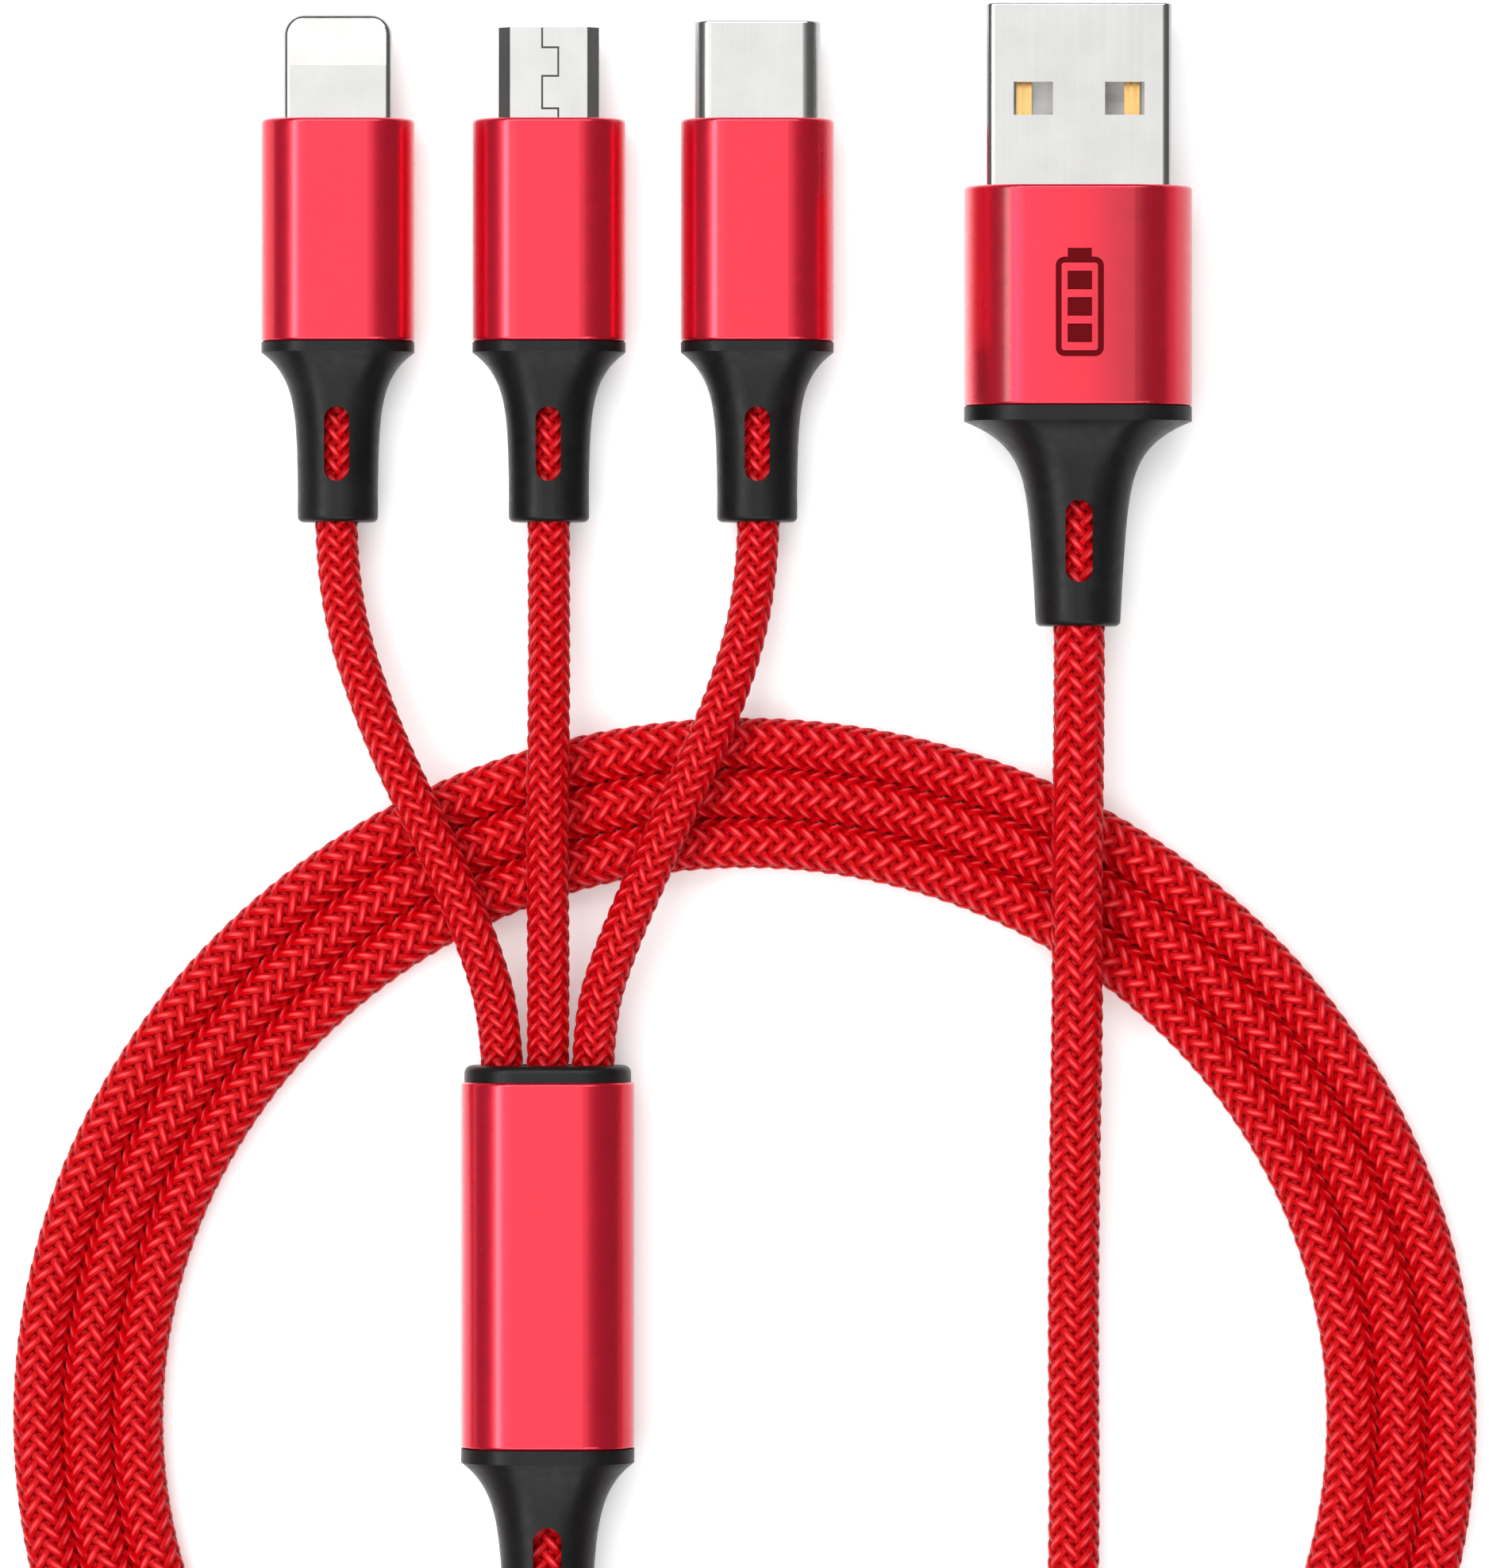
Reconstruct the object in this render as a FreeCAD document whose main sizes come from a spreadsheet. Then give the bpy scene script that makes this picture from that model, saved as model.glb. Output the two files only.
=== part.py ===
import FreeCAD, Part

import math
import os

import Sketcher

# A charging cable. One main cord runs from a rectangular host plug, through a coil of three
# turns, to a splitter. Three short branch cords run from the splitter to a blade plug, a micro
# plug and an oval (type C) plug.
#
# Frame, in millimetres: X goes across, Y from the splitter to the plugs, and Z up from the
# surface that the cable lies on. The origin is at the middle of the plugs and the splitter.
#
# Each plug and the splitter has a local frame too: its Y = 0 is the front face of its casing,
# its Z = 0 is the casing's mid-plane, and "depth" is measured from that face towards the cord.

doc = FreeCAD.newDocument("charging_cable")
sheet = doc.addObject("Spreadsheet::Sheet", "Dims")

DIMENSIONS = (
    # Places of the plugs and the splitter.
    ("blade_axis", -25.18, "X of the blade plug"),
    ("micro_axis", -11.5, "X of the micro plug"),
    ("type_c_axis", 2.0, "X of the type C plug"),
    ("host_axis", 22.77, "X of the host plug"),
    ("splitter_axis", -11.57, "X of the splitter"),
    ("small_front", 45.71, "Y of the front faces of the three small casings"),
    ("host_front", 41.31, "Y of the front face of the host casing"),
    ("splitter_front", -16.61, "Y of the front face of the splitter casing"),
    # Casings.
    ("small_casing_wide", 9.92, "width of a small casing"),
    ("small_casing_thick", 6.2, "thickness of a small casing"),
    ("small_casing_long", 14.42, "length of a small casing"),
    ("host_casing_wide", 14.75, "width of the host casing"),
    ("host_casing_thick", 8.0, "thickness of the host casing"),
    ("host_casing_long", 14.23, "length of the host casing"),
    ("splitter_casing_wide", 11.23, "width of the splitter casing"),
    ("splitter_casing_thick", 7.0, "thickness of the splitter casing"),
    ("splitter_casing_long", 23.74, "length of the splitter casing"),
    ("casing_wall", 0.7, "wall of every casing"),
    ("casing_front_wall", 1.0, "front wall round a plug"),
    ("casing_edge", 0.25, "edge rounding of every casing"),
    ("round_share", 0.48, "corner radius of a casing or boot as a share of its thickness"),
    # Boots.
    ("small_boot_long", 11.65, "length of a small boot behind its casing"),
    ("small_boot_collar", 0.66, "straight collar of a small boot"),
    ("small_boot_flare", 1.68, "length over which the flare fades"),
    ("small_boot_waist_wide", 5.24, "width of a small boot where the flare has faded"),
    ("small_boot_waist_thick", 4.9, "thickness of a small boot there"),
    ("small_boot_end_wide", 5.16, "width of a small boot at its end"),
    ("small_boot_end_thick", 4.6, "thickness of a small boot at its end"),
    ("small_window_wide", 1.63, "width of a small boot's window"),
    ("small_window_long", 4.8, "length of a small boot's window"),
    ("small_window_start", 4.23, "start of a small boot's window behind the casing"),
    ("host_boot_long", 14.2, "length of the host boot behind its casing"),
    ("host_boot_collar", 0.95, "straight collar of the host boot"),
    ("host_boot_flare", 1.57, "length over which the flare fades"),
    ("host_boot_waist_wide", 6.95, "width of the host boot where the flare has faded"),
    ("host_boot_waist_thick", 6.2, "thickness of the host boot there"),
    ("host_boot_end_wide", 5.42, "width of the host boot at its end"),
    ("host_boot_end_thick", 5.1, "thickness of the host boot at its end"),
    ("host_window_wide", 1.77, "width of the host boot's window"),
    ("host_window_long", 5.3, "length of the host boot's window"),
    ("host_window_start", 6.08, "start of the host boot's window behind the casing"),
    ("splitter_boot_long", 12.75, "length of the splitter boot behind its casing"),
    ("splitter_boot_collar", 0.9, "straight collar of the splitter boot"),
    ("splitter_boot_flare", 1.8, "length over which the flare fades"),
    ("splitter_boot_waist_wide", 6.5, "width of the splitter boot where the flare has faded"),
    ("splitter_boot_waist_thick", 5.8, "thickness of the splitter boot there"),
    ("splitter_boot_end_wide", 5.5, "width of the splitter boot at its end"),
    ("splitter_boot_end_thick", 5.1, "thickness of the splitter boot at its end"),
    ("splitter_window_wide", 1.83, "width of the splitter boot's window"),
    ("splitter_window_long", 5.0, "length of the splitter boot's window"),
    ("splitter_window_start", 5.0, "start of the splitter boot's window behind the casing"),
    ("spigot_long", 2.5, "length of a boot's spigot inside its casing"),
    ("boot_edge", 0.35, "rounding of a boot's cord end"),
    # Cords.
    ("branch_cord", 2.8, "diameter of a branch cord"),
    ("main_cord", 3.3, "diameter of the main cord"),
    ("cord_depth", 10.2, "depth of the cord's end inside a plug casing"),
    ("branch_row", 2.88, "distance between branch cords in the splitter cap"),
    ("fit", 0.05, "gap all round between fitted pieces"),
    ("coil_x", 1.2, "X of the coil's middle"),
    ("coil_y", -38.6, "Y of the coil's middle"),
    ("lane_wide", 39.3, "half width of the innermost turn's centre line"),
    ("lane_deep", 37.33, "half depth of the innermost turn's centre line"),
    ("lane_step", 3.32, "distance from one turn to the next"),
    ("coil_edge", 1.32, "edge rounding of the coil's solid"),
    # Inner pieces shared by the plugs.
    ("tip_edge", 0.15, "rounding of a folded shell's outer tip edge"),
    ("tail_long", 4.0, "length of a plug's tail inside its casing"),
    ("cavity_end", 10.0, "depth at which a mould's wire cavity ends"),
    ("cavity_wide", 6.2, "width of a small mould's wire cavity"),
    ("cavity_thick", 2.0, "height of a small mould's wire cavity"),
    ("crimp_wall", 0.4, "wall of a crimp ring"),
    ("crimp_long", 1.5, "length of a crimp ring"),
    ("wire_size", 0.5, "diameter of an insulated wire"),
    ("wire_pitch", 0.7, "distance between wires"),
    ("board_wide", 6.0, "width of a small board"),
    ("board_thick", 0.8, "thickness of every board"),
    ("board_start", 4.05, "depth of a small board's front edge"),
    ("board_end", 8.5, "depth of a small board's rear edge"),
    # Host plug.
    ("host_shell_wide", 12.0, "width of the host shell"),
    ("host_shell_thick", 4.5, "height of the host shell"),
    ("host_shell_out", 11.79, "length of the host shell in front of the casing"),
    ("host_shell_wall", 0.3, "sheet thickness of the host shell"),
    ("host_shell_round", 0.6, "corner radius of the host shell"),
    ("host_hole_wide", 2.54, "width of a shell window"),
    ("host_hole_long", 2.13, "length of a shell window"),
    ("host_hole_apart", 5.9, "distance between the two shell windows"),
    ("host_hole_from_tip", 6.18, "distance from the tip to the middle of a shell window"),
    ("host_tongue_wide", 11.0, "width of the plastic tongue"),
    ("host_tongue_top", -0.15, "height of the tongue's contact face"),
    ("host_tongue_recess", 0.5, "distance of the tongue behind the tip"),
    ("host_base_out", 2.0, "length of the tongue's base in front of the casing face"),
    ("host_contact_wide", 1.0, "width of a host contact"),
    ("host_contact_thick", 0.2, "thickness of a host contact"),
    ("host_contact_inner", 1.0, "offset of the two inner contacts"),
    ("host_contact_outer", 3.5, "offset of the two outer contacts"),
    ("host_contact_recess", 1.3, "distance of the outer contacts behind the tip"),
    ("host_cavity_wide", 9.0, "width of the host mould's wire cavity"),
    ("host_cavity_thick", 3.0, "height of the host mould's wire cavity"),
    ("mark_wide", 3.1, "width of the engraved battery outline"),
    ("mark_long", 6.4, "length of the engraved battery outline"),
    ("mark_line", 0.38, "line width of the engraving"),
    ("mark_depth", 0.12, "depth of the engraving"),
    ("mark_from_front", 7.9, "depth of the middle of the outline"),
    ("mark_bar_long", 1.2, "length of a charge bar"),
    ("mark_bar_step", 1.7, "distance between the charge bars"),
    # Blade plug.
    ("blade_wide", 7.0, "width of the blade"),
    ("blade_thick", 1.5, "thickness of the blade"),
    ("blade_out", 6.81, "length of the blade in front of the casing"),
    ("blade_corner", 1.35, "corner radius of the blade's tip"),
    ("blade_side_round", 0.4, "rounding of the blade's long edges"),
    ("blade_border", 0.28, "rim in front of the insert"),
    ("blade_insert_wide", 6.3, "width of the insert"),
    ("blade_insert_long", 3.05, "length of the insert"),
    ("blade_insert_recess", 0.03, "depth of the insert below the frame's upper face"),
    ("blade_pad_wide", 0.45, "width of a contact pad"),
    ("blade_pad_long", 2.4, "length of a contact pad"),
    ("blade_pad_thick", 0.1, "thickness of a contact pad"),
    ("blade_pad_pitch", 0.7, "distance between contact pads"),
    # Micro plug.
    ("micro_wide", 6.5, "width of the micro shell's wide side"),
    ("micro_narrow", 5.0, "width of its narrow side"),
    ("micro_thick", 1.8, "height of the micro shell"),
    ("micro_side", 1.2, "height of its upright sides"),
    ("micro_wall", 0.25, "sheet thickness of the micro shell"),
    ("micro_out", 5.96, "length of the micro shell in front of the casing"),
    ("micro_core_wide", 4.1, "width of the insulator"),
    ("micro_core_out", 1.0, "length of the insulator's base in front of the casing face"),
    ("micro_contact_wide", 0.3, "width of a micro contact"),
    ("micro_contact_thick", 0.1, "thickness of a micro contact"),
    ("micro_contact_pitch", 0.65, "distance between micro contacts"),
    ("micro_tongue_under", 0.05, "height of the tongue's contact face"),
    ("seam_line", 0.12, "width of the folded seam's line"),
    ("seam_deep", 0.15, "depth of the folded seam's line"),
    ("seam_left", 0.42, "offset of the seam's left-hand runs"),
    ("seam_right", 0.62, "offset of the seam's right-hand runs"),
    ("seam_first", 4.65, "distance of the seam's first step in front of the casing face"),
    ("seam_second", 2.8, "distance of its second step"),
    ("seam_third", 0.7, "distance of its third step"),
    ("latch_offset", 2.5, "offset of a latch arm from the micro plug's axis"),
    ("latch_wide", 0.7, "width of a latch arm"),
    ("latch_thick", 0.22, "thickness of a latch arm"),
    ("latch_gap", 0.08, "gap under a latch arm"),
    ("latch_reach", 4.6, "distance of a latch arm's end in front of the casing face"),
    ("latch_tail", 1.9, "length of a latch arm behind the casing face"),
    ("hook_start", 2.9, "distance of a hook's rear edge in front of the casing face"),
    ("hook_long", 0.9, "length of a hook"),
    ("hook_drop", 0.25, "height of a hook outside the shell"),
    ("hook_gap", 0.12, "gap round a hook in its slot"),
    # Type C plug.
    ("type_c_wide", 8.25, "width of the type C shell"),
    ("type_c_thick", 2.4, "height of the type C shell"),
    ("type_c_round", 1.18, "corner radius of the type C shell"),
    ("type_c_wall", 0.3, "sheet thickness of the type C shell"),
    ("type_c_out", 6.37, "length of the type C shell in front of the casing"),
    ("type_c_recess", 0.25, "distance of the housing behind the tip"),
    ("mouth_wide", 7.3, "width of the housing's mouth"),
    ("mouth_thick", 0.9, "height of the housing's mouth"),
    ("mouth_end", 0.3, "distance of the mouth's end in front of the casing face"),
    ("housing_end", 3.0, "depth of the housing's rear end"),
    ("pin_wide", 0.25, "width of a type C contact"),
    ("pin_thick", 0.1, "thickness of a type C contact"),
    ("pin_pitch", 0.5, "distance between type C contacts"),
    ("pin_long", 4.6, "length of a type C contact"),
    ("spring_offset", 3.3, "offset of a side latch from the plug's axis"),
    ("spring_thick", 0.2, "thickness of a side latch"),
    ("spring_high", 0.7, "height of a side latch"),
    ("spring_reach", 5.6, "distance of a side latch's end in front of the casing face"),
    ("nose_long", 0.6, "length of a side latch's nose"),
    ("nose_deep", 0.2, "height of the nose on the side latch"),
    # Splitter.
    ("cap_wide", 10.8, "width of the splitter cap"),
    ("cap_thick", 6.6, "thickness of the splitter cap"),
    ("cap_out", 1.07, "length of the cap in front of the casing"),
    ("cap_edge", 0.5, "edge rounding of the cap"),
    ("cap_spigot", 3.0, "length of the cap inside the casing"),
    ("branch_depth", 0.6, "depth of the branch cords' ends inside the splitter"),
    ("splitter_board_wide", 8.0, "width of the splitter's board"),
    ("splitter_board_start", 7.0, "depth of the splitter board's front edge"),
    ("splitter_board_end", 15.5, "depth of the splitter board's rear edge"),
    ("splitter_cavity_thick", 2.6, "height of the splitter mould's cavity"),
    ("splitter_cord_depth", 18.0, "depth of the main cord's end inside the splitter"),
)

CAP_CORDS = 3
HOST_WIRES = 4
BLADE_PADS = 8
MICRO_CONTACTS = 5
TYPE_C_CONTACTS = 12
COIL_TURNS = 3
BOOT_SECTIONS = 11
BOOT_SPACING = 1.5
TANGENT_SHARE = 0.45
TINY = 1e-6
# An edge whose box is thinner than this lies in a plane, and one this near a face is on it.
FLAT = 1e-5
NEAR = 1e-3
# A section's corner may take up this much of its height at the most.
LARGEST_ROUND = 0.495

row = 1
for alias, value, meaning in DIMENSIONS:
    sheet.set(f"A{row}", meaning)
    sheet.set(f"B{row}", str(value))
    sheet.setAlias(f"B{row}", alias)
    row += 1
doc.recompute()

subparts = []


def size(alias):
    """Return a driving dimension as a number."""
    return float(sheet.get(alias))


def number(expression):
    """Work out an expression on the driving dimensions."""
    return float(sheet.evalExpression(expression))


def vector(x, y, z=0.0):
    """Return a FreeCAD vector."""
    return FreeCAD.Vector(x, y, z)


def put(item, place):
    """Bind the place of an object to the sheet."""
    for axis, expression in zip("xyz", place):
        item.setExpression(f"Placement.Base.{axis}", expression)


def plug_place(name, kind):
    """Return the place of a plug's or the splitter's local frame."""
    return (f"Dims.{name}_axis", f"Dims.{kind}_front", f"Dims.{kind}_casing_thick / 2")


def new_body(label, place):
    """Start a sub-part that is made as one PartDesign body."""
    body = doc.addObject("PartDesign::Body", label)
    body.Label = label
    put(body, place)
    subparts.append(body)
    return body


def new_sketch(body, role, along="0", across="0", up="0"):
    """Attach a sketch to an origin plane of its body, moved along and within that plane."""
    plane = next(item for item in body.Origin.OriginFeatures if item.Role == role)
    sketch = body.newObject("Sketcher::SketchObject", body.Name + "_sketch")
    sketch.AttachmentSupport = [(plane, "")]
    sketch.MapMode = "FlatFace"
    sketch.setExpression("AttachmentOffset.Base.x", across)
    sketch.setExpression("AttachmentOffset.Base.y", up)
    sketch.setExpression("AttachmentOffset.Base.z", along)
    return sketch


def section_sketch(body, depth, across="0", up="0"):
    """Attach a sketch across the cord's direction, at a depth behind the casing's front."""
    return new_sketch(body, "XZ_Plane", depth, across, up)


def plan_sketch(body, height, across="0", forward="0"):
    """Attach a sketch seen from above, at a height over the mid-plane."""
    return new_sketch(body, "XY_Plane", height, across, forward)


def bind(sketch, constraint, expression):
    """Add a constraint whose value is worked out from the sheet."""
    index = sketch.addConstraint(constraint)
    sketch.setExpression(f"Constraints[{index}]", expression)


def rounded_rectangle(sketch, wide, high, corner):
    """Draw a rectangle with round corners about the sketch's origin."""
    half_x = number(wide) / 2
    half_y = number(high) / 2
    radius = number(corner)
    flat_x = half_x - radius
    flat_y = half_y - radius
    normal = vector(0, 0, 1)
    first = sketch.GeometryCount
    sketch.addGeometry(Part.LineSegment(vector(-flat_x, half_y), vector(flat_x, half_y)))
    sketch.addGeometry(Part.LineSegment(vector(half_x, flat_y), vector(half_x, -flat_y)))
    sketch.addGeometry(Part.LineSegment(vector(flat_x, -half_y), vector(-flat_x, -half_y)))
    sketch.addGeometry(Part.LineSegment(vector(-half_x, -flat_y), vector(-half_x, flat_y)))
    for x, y, start in (
        (flat_x, flat_y, 0.0),
        (flat_x, -flat_y, 1.5 * math.pi),
        (-flat_x, -flat_y, math.pi),
        (-flat_x, flat_y, 0.5 * math.pi),
    ):
        circle = Part.Circle(vector(x, y), normal, radius)
        sketch.addGeometry(Part.ArcOfCircle(circle, start, start + math.pi / 2))
    top, right, bottom, left, top_right, bottom_right, bottom_left, top_left = range(first, first + 8)
    for line, line_end, arc, arc_end in (
        (top, 2, top_right, 2),
        (right, 1, top_right, 1),
        (right, 2, bottom_right, 2),
        (bottom, 1, bottom_right, 1),
        (bottom, 2, bottom_left, 2),
        (left, 1, bottom_left, 1),
        (left, 2, top_left, 2),
        (top, 1, top_left, 1),
    ):
        sketch.addConstraint(Sketcher.Constraint("Tangent", line, line_end, arc, arc_end))
    for line in (top, bottom):
        sketch.addConstraint(Sketcher.Constraint("Horizontal", line))
    for line in (right, left):
        sketch.addConstraint(Sketcher.Constraint("Vertical", line))
    for arc in (bottom_right, bottom_left, top_left):
        sketch.addConstraint(Sketcher.Constraint("Equal", top_right, arc))
    sketch.addConstraint(Sketcher.Constraint("Symmetric", top, 1, bottom, 1, -1, 1))
    bind(sketch, Sketcher.Constraint("DistanceX", left, 1, right, 1, 2 * half_x), wide)
    bind(sketch, Sketcher.Constraint("DistanceY", bottom, 1, top, 1, 2 * half_y), high)
    bind(sketch, Sketcher.Constraint("Radius", top_right, radius), corner)


def circle(sketch, diameter):
    """Draw a circle about the sketch's origin."""
    radius = number(diameter) / 2
    index = sketch.addGeometry(Part.Circle(vector(0, 0), vector(0, 0, 1), radius))
    sketch.addConstraint(Sketcher.Constraint("Coincident", index, 3, -1, 1))
    bind(sketch, Sketcher.Constraint("Diameter", index, 2 * radius), diameter)


def outline(sketch, points):
    """Draw a closed outline of straight lines through points given as expressions."""
    corners = [vector(number(x), number(y)) for x, y in points]
    first = sketch.GeometryCount
    for here, after in zip(corners, corners[1:] + corners[:1]):
        sketch.addGeometry(Part.LineSegment(here, after))
    for index in range(len(points)):
        line = first + index
        before = first + (index - 1) % len(points)
        x, y = points[index]
        sketch.addConstraint(Sketcher.Constraint("Coincident", before, 2, line, 1))
        bind(sketch, Sketcher.Constraint("DistanceX", -1, 1, line, 1, corners[index].x), x)
        bind(sketch, Sketcher.Constraint("DistanceY", -1, 1, line, 1, corners[index].y), y)


def block_outline(sketch, wide, high):
    """Draw a plain rectangle about the sketch's origin."""
    left = f"-({wide}) / 2"
    right = f"({wide}) / 2"
    low = f"-({high}) / 2"
    top = f"({high}) / 2"
    outline(sketch, ((left, low), (right, low), (right, top), (left, top)))


def pad(body, sketch, length):
    """Add material along the sketch's normal."""
    feature = body.newObject("PartDesign::Pad", body.Name + "_pad")
    feature.Profile = sketch
    feature.setExpression("Length", length)
    return feature


def pocket(body, sketch, length):
    """Cut material away against the sketch's normal."""
    doc.recompute()
    before = body.Shape.Volume
    feature = body.newObject("PartDesign::Pocket", body.Name + "_pocket")
    feature.Profile = sketch
    feature.setExpression("Length", length)
    doc.recompute()
    if body.Shape.Volume > before - TINY:
        raise RuntimeError(f"a pocket in {body.Label} cut nothing")
    return feature


def round_edges(body, feature, radius, wanted):
    """Round the edges of a feature that pass a test."""
    doc.recompute()
    names = [f"Edge{index}" for index, edge in enumerate(feature.Shape.Edges, 1) if wanted(edge)]
    fillet = body.newObject("PartDesign::Fillet", body.Name + "_fillet")
    fillet.Base = (feature, names)
    fillet.setExpression("Radius", radius)
    doc.recompute()
    return fillet


def across_cord(edge):
    """Tell whether an edge lies in a plane across the cord's direction."""
    return edge.BoundBox.YLength < FLAT


def group(label, place, members):
    """Make a sub-part from several separate solids."""
    compound = doc.addObject("Part::Compound", label)
    compound.Label = label
    compound.Links = members
    put(compound, place)
    subparts.append(compound)
    return compound


def block(name, middle, wide, long, thick):
    """Make a box from its middle and its sizes along X, Y and Z."""
    box = doc.addObject("Part::Box", name)
    for side, expression in zip(("Length", "Width", "Height"), (wide, long, thick)):
        box.setExpression(side, expression)
    put(box, [f"({centre}) - ({side}) / 2" for centre, side in zip(middle, (wide, long, thick))])
    return box


def rod(name, across, up, start, end, diameter):
    """Make a round rod along the cord's direction, from one depth to another."""
    cylinder = doc.addObject("Part::Cylinder", name)
    cylinder.setExpression("Radius", f"({diameter}) / 2")
    cylinder.setExpression("Height", f"({end}) - ({start})")
    cylinder.Placement = FreeCAD.Placement(vector(0, 0), FreeCAD.Rotation(vector(1, 0, 0), 90))
    put(cylinder, (across, f"-({start})", up))
    return cylinder


def spread(count, pitch):
    """Return the offsets of a centred row as expressions."""
    return [f"({pitch}) * {index - (count - 1) / 2}" for index in range(count)]


def make_casing(name, kind, opening=None):
    """Make a casing: a round-sided sleeve with a front wall, if it has an opening there."""
    body = new_body(f"{name}_casing", plug_place(name, kind))
    wide = f"Dims.{kind}_casing_wide"
    thick = f"Dims.{kind}_casing_thick"
    length = f"Dims.{kind}_casing_long"
    sketch = section_sketch(body, "0")
    rounded_rectangle(sketch, wide, thick, f"{thick} * Dims.round_share")
    sleeve = pad(body, sketch, length)
    round_edges(body, sleeve, "Dims.casing_edge", across_cord)
    inner = section_sketch(body, length)
    rounded_rectangle(
        inner,
        f"{wide} - 2 * Dims.casing_wall",
        f"{thick} - 2 * Dims.casing_wall",
        f"{thick} * Dims.round_share - Dims.casing_wall",
    )
    if opening is None:
        pocket(body, inner, length)
        return body
    pocket(body, inner, f"{length} - Dims.casing_front_wall")
    hole = section_sketch(body, "Dims.casing_front_wall")
    rounded_rectangle(hole, *opening)
    pocket(body, hole, "Dims.casing_front_wall")
    return body


def inside(kind, less="Dims.fit"):
    """Return the width, thickness and corner of what fits inside a casing."""
    wide = f"Dims.{kind}_casing_wide - 2 * Dims.casing_wall - 2 * {less}"
    thick = f"Dims.{kind}_casing_thick - 2 * Dims.casing_wall - 2 * {less}"
    corner = f"Dims.{kind}_casing_thick * Dims.round_share - Dims.casing_wall - {less}"
    return wide, thick, corner


def boot_size(kind, side, along):
    """Return a boot's width or thickness at a distance behind its collar."""
    waist = f"Dims.{kind}_boot_waist_{side}"
    end = f"Dims.{kind}_boot_end_{side}"
    tapered = f"Dims.{kind}_boot_long - Dims.{kind}_boot_collar"
    flare = f"(Dims.{kind}_casing_{side} - {waist}) * exp(-({along}) / Dims.{kind}_boot_flare)"
    return f"{waist} + ({end} - {waist}) * ({along}) / ({tapered}) + {flare}"


def make_boot(name, kind, cord):
    """Make a rubber boot: a collar that flares down to the cord, with a window on each face."""
    body = new_body(f"{name}_boot", plug_place(name, kind))
    rear = f"Dims.{kind}_casing_long"
    wide = f"Dims.{kind}_casing_wide"
    thick = f"Dims.{kind}_casing_thick"
    collar = f"Dims.{kind}_boot_collar"
    length = f"Dims.{kind}_boot_long"
    sketch = section_sketch(body, rear)
    rounded_rectangle(sketch, wide, thick, f"{thick} * Dims.round_share")
    pad(body, sketch, collar)
    sections = []
    for index in range(BOOT_SECTIONS):
        share = (index / (BOOT_SECTIONS - 1)) ** BOOT_SPACING
        along = f"({length} - {collar}) * {share}"
        high = boot_size(kind, "thick", along)
        section = section_sketch(body, f"{rear} + {collar} + {along}")
        rounded_rectangle(section, boot_size(kind, "wide", along), high, f"({high}) * Dims.round_share")
        sections.append(section)
    loft = body.newObject("PartDesign::AdditiveLoft", body.Name + "_loft")
    loft.Profile = sections[0]
    loft.Sections = sections[1:]
    doc.recompute()
    last = -number(f"{rear} + {length}")
    round_edges(
        body,
        loft,
        "Dims.boot_edge",
        lambda edge: across_cord(edge) and abs(edge.BoundBox.YMin - last) < NEAR,
    )
    spigot = section_sketch(body, f"{rear} - Dims.spigot_long")
    rounded_rectangle(spigot, *inside(kind))
    pad(body, spigot, "Dims.spigot_long")
    bore = section_sketch(body, f"{rear} + {length}")
    circle(bore, f"{cord} + 2 * Dims.fit")
    pocket(body, bore, f"{length} + Dims.spigot_long")
    middle = f"-({rear} + Dims.{kind}_window_start + Dims.{kind}_window_long / 2)"
    window = plan_sketch(body, f"{thick} / 2", "0", middle)
    window_wide = f"Dims.{kind}_window_wide"
    rounded_rectangle(
        window, window_wide, f"Dims.{kind}_window_long", f"{window_wide} * {LARGEST_ROUND}"
    )
    pocket(body, window, thick)
    return body


def make_mould(name, kind, tail, tail_end, cavity, cavity_end, cord, start):
    """Make the inner mould: a sleeve round the plug's tail, the wires and the crimp ring."""
    body = new_body(f"{name}_inner_mould", plug_place(name, kind))
    end = f"Dims.{kind}_casing_long - Dims.spigot_long - Dims.fit"
    sketch = section_sketch(body, start)
    rounded_rectangle(sketch, *inside(kind))
    pad(body, sketch, f"{end} - ({start})")
    if tail:
        seat = section_sketch(body, tail_end)
        rounded_rectangle(seat, *tail)
        pocket(body, seat, f"{tail_end} - ({start})")
    room = section_sketch(body, cavity_end)
    block_outline(room, *cavity)
    pocket(body, room, f"{cavity_end} - ({tail_end})")
    bore = section_sketch(body, end)
    circle(bore, f"{cord} + 4 * Dims.fit + 2 * Dims.crimp_wall")
    pocket(body, bore, f"{end} - {cavity_end}")
    return body


def make_crimp(name, kind, cord, start):
    """Make the metal ring that is crimped on the cord's end."""
    body = new_body(f"{name}_crimp", plug_place(name, kind))
    sketch = section_sketch(body, start)
    circle(sketch, f"{cord} + 2 * Dims.fit + 2 * Dims.crimp_wall")
    circle(sketch, f"{cord} + 2 * Dims.fit")
    pad(body, sketch, "Dims.crimp_long")
    return body


def make_wires(name, kind, start, end, count=HOST_WIRES):
    """Make the row of insulated wires between a plug's contacts and the cord's end."""
    rods = []
    for index, across in enumerate(spread(count, "Dims.wire_pitch")):
        rods.append(rod(f"{name}_wire_{index}", across, "0", start, end, "Dims.wire_size"))
    return group(f"{name}_wires", plug_place(name, kind), rods)


def make_board(name, kind, wide, start, end):
    """Make a small circuit board on the mid-plane."""
    middle = ("0", f"-(({start}) + ({end})) / 2", "0")
    slab = block(f"{name}_slab", middle, wide, f"({end}) - ({start})", "Dims.board_thick")
    return group(f"{name}_board", plug_place(name, kind), [slab])


def fitted(wide, thick, corner):
    """Return an opening that fits round a section."""
    return f"{wide} + 2 * Dims.fit", f"{thick} + 2 * Dims.fit", f"{corner} + Dims.fit"


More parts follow.
